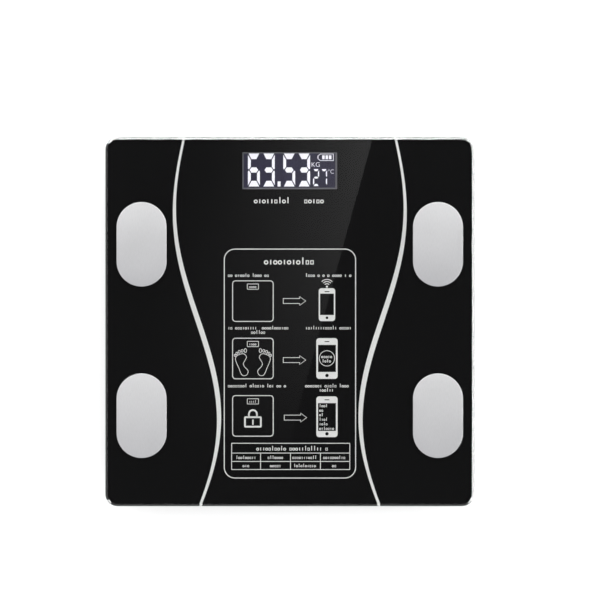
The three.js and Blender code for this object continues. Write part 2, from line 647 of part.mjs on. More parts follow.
function mainBoard() {
  const middle = (BOARD_REAR + BOARD_FRONT) / 2;
  const holes = BOARD_SCREWS.map(({ x, y }) =>
    cylinder(SCREW_RADIUS + FIT_GAP, BOARD_BOTTOM - OVER, BOARD_TOP + OVER, x, y, SMALL_SIDES));
  return carve([block(BOARD_LENGTH, BOARD_DEPTH, BOARD_BOTTOM, BOARD_TOP, 0, middle)], holes);
}

function boardScrew() {
  return turned([
    [0, BOARD_TOP - SCREW_LENGTH], [SCREW_RADIUS, BOARD_TOP - SCREW_LENGTH], [SCREW_RADIUS, BOARD_TOP],
    [SCREW_HEAD_RADIUS, BOARD_TOP], [SCREW_HEAD_RADIUS, BOARD_TOP + SCREW_HEAD_HEIGHT],
    [0, BOARD_TOP + SCREW_HEAD_HEIGHT],
  ], SMALL_SIDES);
}

function tactSwitch() {
  const bore = cylinder(
    PLUNGER_RADIUS + FIT_GAP, SWITCH_BOTTOM - OVER, SWITCH_BOTTOM + PLUNGER_IN + SWITCH_TRAVEL + FIT_GAP,
    0, 0, SMALL_SIDES);
  return carve([block(SWITCH_SIZE, SWITCH_SIZE, SWITCH_BOTTOM, BOARD_BOTTOM)], [bore]);
}

function switchPlunger() {
  return cylinder(PLUNGER_RADIUS, PLUNGER_BOTTOM, SWITCH_BOTTOM + PLUNGER_IN, 0, 0, SMALL_SIDES);
}

/** Key in the tray's underside, kept in by its flange; its stem meets the switch's plunger. */
function unitButton() {
  const flangeTop = BUTTON_SEAT + BUTTON_FLANGE;
  return turned([
    [0, UNIT_BUTTON_BOTTOM],
    [BUTTON_RADIUS - BUTTON_CHAMFER, UNIT_BUTTON_BOTTOM],
    [BUTTON_RADIUS, UNIT_BUTTON_BOTTOM + BUTTON_CHAMFER],
    [BUTTON_RADIUS, BUTTON_SEAT], [BUTTON_FLANGE_RADIUS, BUTTON_SEAT], [BUTTON_FLANGE_RADIUS, flangeTop],
    [BUTTON_STEM_RADIUS, flangeTop], [BUTTON_STEM_RADIUS, PLUNGER_BOTTOM], [0, PLUNGER_BOTTOM],
  ]);
}

// ---- Wiring ----

/** From a front lane, or from outside, a lead climbs to its terminal on the board's front edge. */
function intoTerminal(x) {
  return [
    [x, BOARD_FRONT - 2 * TERMINAL_REACH, TERMINAL_HEIGHT],
    [x, BOARD_FRONT + TERMINAL_REACH, TERMINAL_HEIGHT],
  ];
}

function loadCellLead(corner) {
  const x = corner.x;
  const y = corner.y * FOOT_CENTRE;
  const height = (LOAD_CELL_TOP + LOAD_CELL_BOTTOM) / 2;
  const start = FOOT_CENTRE - LOAD_CELL / 2 - FIT_GAP;
  const inNotch = FOOT_CENTRE - POCKET_RADIUS;
  const outside = inNotch - POCKET_WALL - 2 * WIRE_RADIUS;
  if (corner.y > 0) {
    const boardEdge = BOARD_LENGTH / 2;
    return [
      [x * start, y, height],
      [x * inNotch, y, height],
      [x * outside, y, height],
      [x * (boardEdge + REAR_LEAD_SHIFT), y - REAR_LEAD_SHIFT, TERMINAL_HEIGHT],
      [x * (boardEdge - TERMINAL_REACH), y - REAR_LEAD_SHIFT, TERMINAL_HEIGHT],
    ];
  }
  const terminal = FIRST_TERMINAL_X + 2 * TERMINAL_PITCH;
  return [
    [x * start, y, height],
    [x * inNotch, y, height],
    [x * outside, y, height],
    [x * FRONT_LANE, y / 2, WIRE_HEIGHT],
    [x * FRONT_LANE, LANE_TURN_Y, WIRE_HEIGHT],
    ...intoTerminal(x * terminal),
  ];
}

function electrodeLead(corner) {
  const stud = studCentre(corner);
  const start = Math.abs(stud.x) - NUT_ACROSS_FLATS / Math.sqrt(3) - WIRE_RADIUS - FIT_GAP;
  const x = corner.x;
  const fromStud = [
    [x * start, stud.y, GLASS_BOTTOM - NUT_HEIGHT / 2],
    [x * (start - LEAD_FALL), stud.y + LEAD_FALL / 2, WIRE_HEIGHT],
  ];
  const lane = FRONT_LANE + 2 * TERMINAL_PITCH;
  if (corner.y > 0) {
    return [
      ...fromStud,
      [x * (lane + 2 * TERMINAL_PITCH), BOARD_FRONT - 3 * TERMINAL_PITCH, WIRE_HEIGHT],
      ...intoTerminal(x * (FIRST_TERMINAL_X + 4 * TERMINAL_PITCH)),
    ];
  }
  return [
    ...fromStud,
    [x * lane, 0, WIRE_HEIGHT],
    [x * lane, LANE_TURN_Y, WIRE_HEIGHT],
    ...intoTerminal(x * (FIRST_TERMINAL_X + 3 * TERMINAL_PITCH)),
  ];
}

/** The rear contact's lead takes the first terminal, and the front one's passes outside it. */
function batteryLead(side) {
  const y = BAY_Y + side * CELL_PITCH / 2;
  if (side > 0) {
    return [
      [BATTERY_LEAD_START, y, CELL_AXIS],
      [BATTERY_LEAD_START, y + CELL_DIAMETER, CELL_AXIS],
      ...intoTerminal(FIRST_TERMINAL_X),
    ];
  }
  return [
    [BATTERY_LEAD_START, y, CELL_AXIS],
    [BATTERY_LANE, y + CELL_DIAMETER, CELL_AXIS],
    [BATTERY_LANE, LANE_TURN_Y, CELL_AXIS],
    ...intoTerminal(FIRST_TERMINAL_X + TERMINAL_PITCH),
  ];
}

// ---- The object ----

const scale = new THREE.Group();

function addPiece(parent, name, geometry, [color, roughness, metalness]) {
  const material = new THREE.MeshStandardMaterial({ color, roughness, metalness, flatShading: true });
  const mesh = new THREE.Mesh(geometry, material);
  mesh.name = name;
  parent.add(mesh);
  return mesh;
}

function groupAt(x, y) {
  const group = new THREE.Group();
  group.position.set(x, y, 0);
  scale.add(group);
  return group;
}

// Finishes: colour, roughness and metalness
const BLACK_GLASS = [0x16171a, 0.06, 0];
const STAINLESS = [0xd2d3d5, 0.32, 1];
const PLATED_STEEL = [0xb9bcc0, 0.35, 1];
const SILICONE = [0x2a2b2d, 0.7, 0];
const FOAM = [0xe8e6df, 0.9, 0];
const BLACK_ABS = [0x1b1c1e, 0.55, 0];
const BLACK_RUBBER = [0x101112, 0.8, 0];
const GREY_ABS = [0x3a3c3f, 0.5, 0];
const DARK_LCD = [0x352c49, 0.12, 0];
const ACRYLIC = [0xf2f4f6, 0.2, 0];
const BOARD_GREEN = [0x1f5a3a, 0.45, 0];
const BLACK_RESIN = [0x18181a, 0.5, 0];
const CELL_JACKET = [0x2f6b53, 0.35, 0.1];
const RED_PVC = [0xa5201d, 0.45, 0];
const BLACK_PVC = [0x151515, 0.45, 0];
const WHITE_PVC = [0xdcdcd8, 0.45, 0];

addPiece(scale, 'glass_platform', glassPlatform(), BLACK_GLASS);
addPiece(scale, 'bonding_bead', bondingBead(), SILICONE);
addPiece(scale, 'base_shell', baseShell(), BLACK_ABS);

for (const corner of CORNERS) {
  const centre = electrodeCentre(corner);
  const stud = studCentre(corner);
  const electrodes = groupAt(centre.x, centre.y);
  addPiece(electrodes, `electrode_${corner.place}`, electrode(stud.y - centre.y), STAINLESS);
  const nuts = groupAt(stud.x, stud.y);
  addPiece(nuts, `electrode_nut_${corner.place}`, electrodeNut(), PLATED_STEEL);

  const foot = groupAt(corner.x * FOOT_CENTRE, corner.y * FOOT_CENTRE);
  addPiece(foot, `bonding_disc_${corner.place}`, cylinder(DISC_RADIUS, TRAY_TOP, GLASS_BOTTOM), FOAM);
  addPiece(foot, `load_cell_${corner.place}`, loadCell(), PLATED_STEEL);
  addPiece(foot, `foot_cap_${corner.place}`, footCap(), BLACK_ABS);
  addPiece(foot, `foot_pad_${corner.place}`, footPad(), BLACK_RUBBER);

  const cellLead = wire(loadCellLead(corner), WIRE_RADIUS, LEAD_STEPS);
  addPiece(scale, `load_cell_lead_${corner.place}`, cellLead, WHITE_PVC);
  const studLead = wire(electrodeLead(corner), WIRE_RADIUS, LEAD_STEPS);
  addPiece(scale, `electrode_lead_${corner.place}`, studLead, BLACK_PVC);
}

addPiece(scale, 'main_board', mainBoard(), BOARD_GREEN);
for (const screw of BOARD_SCREWS) {
  addPiece(groupAt(screw.x, screw.y), `board_screw_${screw.place}`, boardScrew(), PLATED_STEEL);
}
const chipRow = BOARD_FRONT + CHIP_ROW;
addPiece(scale, 'controller_chip',
  block(CHIP_SIZE, CHIP_SIZE, BOARD_TOP, BOARD_TOP + CHIP_HEIGHT, CHIP_X, chipRow), BLACK_RESIN);
addPiece(scale, 'radio_module',
  block(RADIO_WIDTH, RADIO_DEPTH, BOARD_TOP, BOARD_TOP + RADIO_HEIGHT, RADIO_X, chipRow), PLATED_STEEL);
addPiece(scale, 'display_frame', displayFrame(), GREY_ABS);
addPiece(scale, 'lcd_panel', lcdPanel(), DARK_LCD);
addPiece(scale, 'backlight_guide', backlightGuide(), ACRYLIC);
addPiece(scale, 'lcd_connector', lcdConnector(), SILICONE);

const unitSwitch = groupAt(BUTTON_X, DISPLAY_Y);
addPiece(unitSwitch, 'tact_switch', tactSwitch(), BLACK_RESIN);
addPiece(unitSwitch, 'switch_plunger', switchPlunger(), GREY_ABS);
addPiece(unitSwitch, 'unit_button', unitButton(), GREY_ABS);

addPiece(scale, 'battery_door', batteryDoor(), BLACK_ABS);
// Each cell lies along X with its flat end on a spring: the rear one's nub points to +X.
for (const [name, side] of [['battery_cell_rear', 1], ['battery_cell_front', -1]]) {
  const cell = addPiece(scale, name, batteryCell(), CELL_JACKET);
  const flatEnd = BAY_END - CONTACT_THICKNESS - SPRING_LENGTH - FIT_GAP;
  cell.position.set(-side * flatEnd, BAY_Y + side * CELL_PITCH / 2, CELL_AXIS);
  cell.rotation.y = side * Math.PI / 2;
}
const halfPitch = CELL_PITCH / 2;
addPiece(scale, 'contact_bridge',
  carve([contactPlate(-1, 0, CELL_PITCH + CONTACT_SIZE), contactSpring(-1, halfPitch)]), PLATED_STEEL);
addPiece(scale, 'contact_positive',
  carve([contactPlate(1, halfPitch, CONTACT_SIZE), solderTab(halfPitch)]), PLATED_STEEL);
addPiece(scale, 'contact_negative',
  carve([contactPlate(1, -halfPitch, CONTACT_SIZE), contactSpring(1, -halfPitch), solderTab(-halfPitch)]),
  PLATED_STEEL);
addPiece(scale, 'battery_lead_positive',
  wire(batteryLead(1), WIRE_RADIUS, BATTERY_LEAD_STEPS), RED_PVC);
addPiece(scale, 'battery_lead_negative',
  wire(batteryLead(-1), WIRE_RADIUS, BATTERY_LEAD_STEPS), BLACK_PVC);

export default scale;
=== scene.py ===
# %% [markdown]
# # A digital bathroom scale with a glass platform
#
# The scale is a square of tempered glass on a black moulded tray. Four round feet carry it, each on a
# load cell, and four stainless steel electrodes lie on the glass. All the black and white that shows
# from above is enamel, printed on the underside of the glass, with a window left open in it over the
# display.
#
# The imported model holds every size, place and joint. This lesson dresses it: the glass is made as real
# clear glass with enamel inside it, the hard edges are rounded, and each plastic, metal and rubber gets
# its finish.

import math

import bmesh
import bpy
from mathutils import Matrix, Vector


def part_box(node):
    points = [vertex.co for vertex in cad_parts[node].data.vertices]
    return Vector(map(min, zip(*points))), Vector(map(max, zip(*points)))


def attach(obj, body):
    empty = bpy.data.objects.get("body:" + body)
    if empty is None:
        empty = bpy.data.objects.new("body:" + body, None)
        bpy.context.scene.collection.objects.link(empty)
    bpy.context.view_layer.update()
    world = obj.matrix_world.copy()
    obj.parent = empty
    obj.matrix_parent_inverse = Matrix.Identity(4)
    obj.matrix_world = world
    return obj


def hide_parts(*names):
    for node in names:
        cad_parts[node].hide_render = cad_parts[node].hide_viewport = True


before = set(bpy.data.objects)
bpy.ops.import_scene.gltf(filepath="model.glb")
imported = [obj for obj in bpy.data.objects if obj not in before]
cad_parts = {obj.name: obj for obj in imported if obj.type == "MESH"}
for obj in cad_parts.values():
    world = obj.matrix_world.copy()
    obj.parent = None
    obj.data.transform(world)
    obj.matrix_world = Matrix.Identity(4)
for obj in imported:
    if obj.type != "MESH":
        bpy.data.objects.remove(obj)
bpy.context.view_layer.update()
MM = 0.001

# %% [markdown]
# ## Where things are
#
# Every place comes from the frame. The drawing on the glass is laid out in millimetres from the middle
# of the platform, as its printer's film would be: x to the right, y towards the back edge.

# %% The platform's box and middle
glass_low, glass_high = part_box("glass_platform")
PLATFORM = (glass_high.x - glass_low.x) / MM
GLASS_THICKNESS = (glass_high.z - glass_low.z) / MM
MIDDLE = (glass_low + glass_high) / 2
HALF = PLATFORM / 2
CORNERS = ("rear_left", "rear_right", "front_left", "front_right")
print(f"platform {PLATFORM:.1f} mm square, glass {GLASS_THICKNESS:.1f} mm thick")

# %% [markdown]
# ## One helper for every node tree
#
# Materials and Geometry Nodes are both trees of nodes, so one small function adds a node to either. A
# key of `settings` is a property of the node if it has one of that name, and otherwise one of its input
# sockets.

# %% A helper to add a node, and one for colours
def add(tree, kind, settings=None, links=None):
    """Adds a node of that kind with its settings, and links each named input from a socket."""
    node = tree.nodes.new(kind)
    for key, value in (settings or {}).items():
        if isinstance(key, str) and hasattr(node, key):
            setattr(node, key, value)
        else:
            node.inputs[key].default_value = value
    for key, socket in (links or {}).items():
        tree.links.new(socket, node.inputs[key])
    return node


def linear(hex_colour):
    """An sRGB hex colour as the linear red, green, blue and alpha that Blender works in."""
    channels = [int(hex_colour[i : i + 2], 16) / 255 for i in (1, 3, 5)]
    return [c / 12.92 if c <= 0.04045 else ((c + 0.055) / 1.055) ** 2.4 for c in channels] + [1.0]


# %% [markdown]
# ## Finishes
#
# Moulded plastic, rubber, enamel and foil differ in colour, gloss and grain, but the eye reads all of
# them the same way: a little unevenness in the colour, a little in the gloss, and a relief at the size
# of the grain. `grained` makes such a material. The tones, the grain in millimetres and the relief are
# what tell one from another, and `stretch` draws the grain out along an axis, as brushing does.

# %% A grained material
def grained(
    name, tones, grain_mm, roughness, relief_mm=0.0, stretch=(1, 1, 1), gloss_change=0.06, **sockets
):
    """A procedural material: two tones mixed by its grain, an uneven gloss, and a relief of that grain."""
    finish = bpy.data.materials.new(name)
    finish.use_nodes = True
    tree = finish.node_tree
    tree.nodes.clear()
    place = add(tree, "ShaderNodeTexCoord").outputs["Object"]
    drawn = add(tree, "ShaderNodeMapping", {"Scale": stretch}, {"Vector": place}).outputs[0]
    grain = add(
        tree,
        "ShaderNodeTexNoise",
        {"Scale": 1 / (grain_mm * MM), "Detail": 3.0, "Roughness": 0.55},
        {"Vector": drawn},
    ).outputs[0]
    patches = add(tree, "ShaderNodeTexNoise", {"Scale": 45.0, "Detail": 2.0}, {"Vector": place}).outputs[0]
    tone = add(
        tree,
        "ShaderNodeMix",
        {"data_type": "RGBA", 6: linear(tones[0]), 7: linear(tones[1])},
        {0: grain},
    ).outputs[2]
    glossier, duller = roughness - gloss_change, roughness + gloss_change
    gloss = add(
        tree,
        "ShaderNodeMapRange",
        {"From Min": 0.3, "From Max": 0.7, "To Min": glossier, "To Max": duller},
        {"Value": patches},
    ).outputs[0]
    shader = add(tree, "ShaderNodeBsdfPrincipled", sockets, {"Base Color": tone, "Roughness": gloss})
    if relief_mm:
        depth = {"Strength": 0.6, "Distance": relief_mm * MM}
        relief = add(tree, "ShaderNodeBump", depth, {"Height": grain})
        tree.links.new(relief.outputs[0], shader.inputs["Normal"])
    add(tree, "ShaderNodeOutputMaterial", {}, {"Surface": shader.outputs[0]})
    return finish


# %% [markdown]
# ### Plastics, rubber and wire
#
# The tray is ABS, moulded in a tool whose walls were spark-eroded, which leaves a fine satin grain that
# breaks up reflections. The feet stand on soft rubber, duller and rougher. Wire jackets are PVC, smooth
# and glossy.

# %% The plastics and rubbers
FINISHES = {
    # ABS, spark-eroded tool: satin black with a fine grain (real grain 0.2 mm, drawn at 0.5 mm so it shows)
    "black_abs": grained("black_moulded_abs", ("#18181a", "#242426"), 0.5, 0.46, 0.03),
    # the same plastic in grey, polished tool: smoother, for the button and the display's frame
    "grey_abs": grained("grey_moulded_abs", ("#4a4b4e", "#5a5b5f"), 0.6, 0.38, 0.012),
    # thermoplastic rubber: dull, a little dusty, no sharp highlight
    "foot_rubber": grained("foot_rubber", ("#1b1b1c", "#2b2b2c"), 0.9, 0.82, 0.04),
    # silicone sealant: soft sheen, slightly uneven bead
    "silicone": grained("silicone_bead", ("#26272a", "#33353a"), 1.6, 0.42, 0.05),
    # polyethylene foam tape: white, matt, open cells about half a millimetre wide
    "white_foam": grained("foam_tape", ("#cfcfca", "#eeeeea"), 0.5, 0.9, 0.08),
    # PVC wire jackets: extruded, so the surface runs smooth along the wire
    "black_pvc": grained("black_wire_jacket", ("#0f0f10", "#19191b"), 0.8, 0.35, 0.01),
    "white_pvc": grained("white_wire_jacket", ("#d9d8d2", "#eceae4"), 0.8, 0.37, 0.01),
    "red_pvc": grained("red_wire_jacket", ("#9c1512", "#b8211c"), 0.8, 0.35, 0.01),
    # moulding compound on chips: dull black with fine glass filler
    "black_resin": grained("chip_moulding_compound", ("#141416", "#222224"), 0.15, 0.6, 0.01),
    # printed shrink sleeve on the cells, in two plain greys
    "cell_jacket": grained("cell_shrink_sleeve", ("#3c4a55", "#46545f"), 2.4, 0.3, 0.01),
    # solder mask over glass fibre: green lacquer through which the weave shows
    "circuit_board": grained("green_solder_mask", ("#0b4a2c", "#13633d"), 1.1, 0.33, 0.015),
    # cast acrylic, cloudy at the light's edge
    "clear_acrylic": grained("acrylic_light_guide", ("#dfe6ea", "#f2f6f8"), 3.0, 0.12, 0.0),
    # the two glass sheets of the display with the drive layer between them, grey where no film covers them
    "lcd_glass": grained("display_glass", ("#626166", "#737277"), 2.0, 0.18, 0.0, gloss_change=0.03),
}
print(len(FINISHES), "plastics and rubbers")

# %% [markdown]
# ### Metals
#
# The electrodes are stainless steel strip, brushed with a fine belt: the scratches are too fine to see
# one by one, but they spread the highlight across their run and leave soft streaks. The stampings inside
# are nickel plated, brighter, with the faint orange peel of the plating.

# %% The metals
brushed_steel = grained(
    "brushed_stainless_steel",
    ("#dcdcdd", "#ededee"),
    0.35,  # belt scratches are 0.05 mm apart, drawn wider so that they show
    0.42,
    0.006,
    stretch=(1, 0.12, 1),
    gloss_change=0.015,
    Metallic=1.0,
)
FINISHES["stainless_steel"] = brushed_steel
FINISHES["plated_steel"] = grained(
    "nickel_plated_steel", ("#b9b6ae", "#cbc9c3"), 1.2, 0.28, 0.006, Metallic=1.0
)

# %% [markdown]
# Each electrode's colour is painted a touch darker towards its front end. This is a painted shade gradient,
# not wear. The rear and front plates lie one pitch apart, and wrapping y by that pitch lays the one over
# the other.

# %% Painted shade: darken each plate towards its front end
# painted shade: the tone that the steel's colour is multiplied by at each plate's front end
FRONT_SHADE_TONE = "#dedee0"
front_low, front_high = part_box("electrode_front_left")
rear_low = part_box("electrode_rear_left")[0]
steel = brushed_steel.node_tree
steel_shader = next(node for node in steel.nodes if node.type == "BSDF_PRINCIPLED")
plain_tone = steel_shader.inputs["Base Color"].links[0].from_socket
place = add(steel, "ShaderNodeTexCoord").outputs["Object"]
along = add(steel, "ShaderNodeSeparateXYZ", {}, {"Vector": place}).outputs["Y"]
along = add(
    steel,
    "ShaderNodeMath",
    {"operation": "WRAP", 1: rear_low.y, 2: front_low.y},
    {0: along},
).outputs[0]
# painted shade: 0 at each plate's back end and 1 at its front end, which darkens the base colour there
front_shade = add(
    steel,
    "ShaderNodeMapRange",
    {"From Min": front_high.y, "From Max": front_low.y},
    {"Value": along},
).outputs[0]
front_shaded_tone = add(
    steel,
    "ShaderNodeMix",
    {"data_type": "RGBA", "blend_type": "MULTIPLY", 7: linear(FRONT_SHADE_TONE)},
    {0: front_shade, 6: plain_tone},
).outputs[2]
steel.links.new(front_shaded_tone, steel_shader.inputs["Base Color"])

# %% [markdown]
# ### Enamel
#
# Ceramic enamel is printed on the glass through a screen and fired at 700 °C. It is opaque and dead
# flat, and because the glass lies over it, it looks glossy whatever its own surface is.

# %% The two enamels
NO_SHEEN = {"Specular IOR Level": 0.0}  # enamel fused to glass has no surface of its own to reflect
black_enamel = grained("black_ceramic_enamel", ("#080809", "#0d0d0e"), 1.5, 0.55, **NO_SHEEN)
white_enamel = grained("white_ceramic_enamel", ("#e8e8e6", "#f0f0ef"), 1.5, 0.55, **NO_SHEEN)

# %% [markdown]
# ### Glass
#
# Tempered soda-lime glass has an IOR of 1.52 and, in a pane this thin, hardly any green, which varies a
# little from place to place. The pane casts no shadow, so that lamps reach the enamel through it as they
# do in life, without tracing every refracted beam.

# %% The glass
def tempered_glass():
    """Clear glass whose faint green comes and goes."""
    finish = bpy.data.materials.new("tempered_glass")
    finish.use_nodes = True
    tree = finish.node_tree
    tree.nodes.clear()
    place = add(tree, "ShaderNodeTexCoord").outputs["Object"]
    wave = add(tree, "ShaderNodeTexNoise", {"Scale": 12.0, "Detail": 1.0}, {"Vector": place}).outputs[0]
    tint = add(
        tree,
        "ShaderNodeMix",
        {"data_type": "RGBA", 6: linear("#fafdfc"), 7: linear("#ffffff")},
        {0: wave},
    ).outputs[2]
    shader = add(
        tree,
        "ShaderNodeBsdfPrincipled",
        {"Transmission Weight": 1.0, "IOR": 1.52, "Roughness": 0.0},
        {"Base Color": tint},
    )
    add(tree, "ShaderNodeOutputMaterial", {}, {"Surface": shader.outputs[0]})
    return finish


clear_glass = tempered_glass()
# the wall of the pane is ground and left matt: frosted grey-green, with the grain of the wheel
ground_glass = grained("ground_glass_edge", ("#7f8985", "#98a29d"), 0.4, 0.6, 0.02)

# %% [markdown]
# ## Dressing the CAD nodes
#
# Each node of the frame keeps its shape and takes the finish of its material slot.

# %% Give every CAD node its finish
FINISHES["tempered_glass"] = clear_glass
for name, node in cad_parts.items():
    for material_slot in node.material_slots:
        material_slot.material = FINISHES[material_slot.material.name.split(".")[0]]
print(len(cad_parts), "nodes dressed")

# %% [markdown]
# ## Lofted shapes
#
# The glass, the electrodes and the foot pads are all one idea: the same outline repeated at several
# heights, larger or smaller, and skinned. The outline is a rectangle with round corners. With the corner
# as large as half the short side it is a stadium, and with both sides alike it is a circle, so one
# function draws all.

# %% An outline with round corners, and a loft through such outlines
CORNER_STEPS = 16


def rounded_outline(half_x, half_y, radius, steps=CORNER_STEPS):
    """Points anticlockwise round a rectangle with round corners, in millimetres from its middle."""
    points = []
    for turn, (side_x, side_y) in enumerate(((1, 1), (-1, 1), (-1, -1), (1, -1))):
        for step in range(steps + 1):
            angle = math.radians(90 * turn + 90 * step / steps)
            points.append(
                (
                    side_x * (half_x - radius) + radius * math.cos(angle),
                    side_y * (half_y - radius) + radius * math.sin(angle),
                )
            )
    return points


def loft(name, middle, half_x, half_y, radius, profile):
    """Skins a round-cornered outline. profile lists (inset, height) in millimetres, from bottom to top."""
    vertices, faces = [], []
    for inset, height in profile:
        ring = rounded_outline(half_x - inset, half_y - inset, radius - inset)
        vertices += [middle + Vector((x, y, height)) * MM for x, y in ring]
    count = len(vertices) // len(profile)
    for level in range(len(profile) - 1):
        for i in range(count):
            j = (i + 1) % count
            low, high = level * count, (level + 1) * count
            faces.append((low + i, low + j, high + j, high + i))
    faces.append(tuple(reversed(range(count))))
    faces.append(tuple(range(len(vertices) - count, len(vertices))))
    mesh = bpy.data.meshes.new(name)
    mesh.from_pydata(vertices, [], faces)
    return mesh


# %% [markdown]
# A mesh becomes a piece here: doubled points are merged, curved faces are shaded smooth up to an angle,
# and an optional Bevel modifier breaks the sharp edges, because no moulded or ground edge is truly
# sharp. A piece without it has its normals weighted by area, so that a large flat face stays flat where
# it meets a small one.

# %% Make a piece from a mesh
WELD = 0.002 * MM  # points closer than this are one point
LEVEL = math.radians(0.5)  # facets that differ by less than this lie in one plane


def merge_doubles(mesh, join_facets=False):
    """Welds the points of a mesh that lie on each other, and joins the facets of each plane if asked."""
    work = bmesh.new()
    work.from_mesh(mesh)
    bmesh.ops.remove_doubles(work, verts=work.verts, dist=WELD)
    if join_facets:
        bmesh.ops.dissolve_limit(work, angle_limit=LEVEL, verts=work.verts, edges=work.edges)
    bmesh.ops.dissolve_degenerate(work, dist=WELD, edges=work.edges)
    work.to_mesh(mesh)
    work.free()


def piece(
    name, mesh, body, finish, smooth_angle=30, edge_mm=0.0, replaces=(), join_facets=False
):
    """Turns a mesh in place into a finished piece that rides on a body."""
    merge_doubles(mesh, join_facets)
    mesh.materials.clear()
    mesh.materials.append(finish)
    mesh.shade_smooth()
    mesh.set_sharp_from_angle(angle=math.radians(smooth_angle))
    made = bpy.data.objects.new(name, mesh)
    bpy.context.scene.collection.objects.link(made)
    if edge_mm:
        edge = made.modifiers.new("broken_edges", "BEVEL")
        edge.width = edge_mm * MM
        edge.segments = 2
        edge.limit_method = "ANGLE"
        edge.angle_limit = math.radians(smooth_angle)
        edge.harden_normals = True
    else:
        level = made.modifiers.new("level_faces", "WEIGHTED_NORMAL")
        level.keep_sharp = True
        level.weight = 100
    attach(made, body)
    if replaces:
        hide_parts(*replaces)
    return made


# %% [markdown]
# ## The glass platform
#
# The pane's wall is ground matt, and leans in a little at the top. A polished arris above it catches the
# light, and a narrow one runs below. In CAD the pane has holes for the electrode studs. The enamel and
# the electrodes hide them, so this one is whole.

# %% The glass pane
ARRIS_WIDTH, ARRIS_HEIGHT = 1.5, 1.24  # laid back a little, so that it mirrors a low strip of light
GROUND_LEAN, GROUND_RISE = 0.3, 0.7  # how far the ground wall leans in, and over what height
LOWER_ARRIS = 0.6
CORNER_RADIUS = 8.8
pane_floor = Vector((MIDDLE.x, MIDDLE.y, glass_low.z))
pane_profile = [
    (LOWER_ARRIS, 0),
    (0, LOWER_ARRIS),
    (0, GLASS_THICKNESS - ARRIS_HEIGHT - GROUND_RISE),
    (GROUND_LEAN, GLASS_THICKNESS - ARRIS_HEIGHT),
    (GROUND_LEAN + ARRIS_WIDTH, GLASS_THICKNESS),
]
pane = piece(
    "glass_pane",
    loft("glass_pane", pane_floor, HALF, HALF, CORNER_RADIUS, pane_profile),
    "platform",
    clear_glass,
    smooth_angle=12,
    edge_mm=0.08,
    replaces=["glass_platform"],
)
pane.visible_shadow = False
pane.data.materials.append(ground_glass)
for face in pane.data.polygons:
    if abs(face.normal.z) < 0.5:
        face.material_index = 1
print("pane:", len(pane.data.polygons), "faces")

# %% [markdown]
# ## Flat shapes of enamel
#
# A flat curve in Blender fills the space between its loops: a loop inside another is a hole. That makes
# every filled print, such as the black field with its window. The enamel lies just inside the glass's
# underside, the black below and the white above it, each a film with a real thickness.

# %% A film of enamel from filled loops
BLACK_FILM = (0.02, 0.10)  # the film's lower and upper face, above the pane's underside
WHITE_FILM = (0.12, 0.20)


def filled(loops, low, high):
    """A flat film between two heights, filled between closed loops of points in millimetres."""
    curve = bpy.data.curves.new("film", "CURVE")
    curve.dimensions = "2D"
    curve.fill_mode = "BOTH"
    curve.extrude = (high - low) * MM / 2
    for loop in loops:
        spline = curve.splines.new("POLY")
        spline.points.add(len(loop) - 1)
        for point, (x, y) in zip(spline.points, loop):
            point.co = (x * MM, y * MM, 0, 1)
        spline.use_cyclic_u = True
    drawn = bpy.data.objects.new("film", curve)
    bpy.context.scene.collection.objects.link(drawn)
    bpy.context.view_layer.update()
    graph = bpy.context.evaluated_depsgraph_get()
    mesh = bpy.data.meshes.new_from_object(drawn.evaluated_get(graph))
    bpy.data.objects.remove(drawn)
    for vertex in mesh.vertices:
        vertex.co.z += (high + low) / 2 * MM
    return mesh


def joined(meshes, place):
    """One mesh of several, moved to its place."""
    work = bmesh.new()
    for mesh in meshes:
        work.from_mesh(mesh)
        bpy.data.meshes.remove(mesh)
    for vertex in work.verts:
        vertex.co += place
    whole = bpy.data.meshes.new("joined")
    work.to_mesh(whole)
    work.free()
    return whole


def shifted(loop, x, y):
    """The loop moved by x and y."""
    return [(px + x, py + y) for px, py in loop]


def box_loop(left, bottom, right, top, radius=0.01, steps=6):
    """A round-cornered box between four sides."""
    loop = rounded_outline((right - left) / 2, (top - bottom) / 2, radius, steps)
    return shifted(loop, (left + right) / 2, (bottom + top) / 2)


# %% [markdown]
# ## The black field
#
# The black enamel covers the glass up to the ground edge and is left open over the display, whose frame
# gives the window its size and place.

# %% The black enamel with its window
FRAME_WALL = 1.8  # the display frame's wall, the same on every side
FIELD_INSET = 0.8  # from the glass's edge to the black
frame_low, frame_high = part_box("display_frame")
display = ((frame_low + frame_high) / 2 - MIDDLE) / MM
WINDOW_X = (frame_high.x - frame_low.x) / MM - 2 * FRAME_WALL
WINDOW_Y = (frame_high.y - frame_low.y) / MM - 2 * FRAME_WALL
window = (
    display.x - WINDOW_X / 2,
    display.y - WINDOW_Y / 2,
    display.x + WINDOW_X / 2,
    display.y + WINDOW_Y / 2,
)
FIELD_HALF = HALF - FIELD_INSET
field_loop = rounded_outline(FIELD_HALF, FIELD_HALF, CORNER_RADIUS - FIELD_INSET)
field = filled([field_loop, box_loop(*window, radius=0.4)], *BLACK_FILM)
field_mesh = joined([field], pane_floor)
piece("black_enamel_field", field_mesh, "platform", black_enamel, replaces=["glass_platform"])
print(f"window {WINDOW_X:.1f} x {WINDOW_Y:.1f} mm")

# %% [markdown]
# ## The two white sweeps
#
# A white line runs down each side in one slow S. Its middle follows a cosine with a slight bow, and it
# swells from thin at the ends to full a little in front of the middle. The right sweep is the left
# mirrored.

# %% The white sweeps
SWEEP_MIDDLE, SWEEP_SWING, SWEEP_CREST, SWEEP_PERIOD = -63.8, 15.1, 70.0, 288.0
SWEEP_LEAN, SWEEP_BOW = -0.0077, -0.00034
SWEEP_THIN, SWEEP_FULL = 1.6, 3.6
SWELL_MIDDLE, SWELL_LENGTH = -12.0, 290.0
SWEEP_STEPS = 72


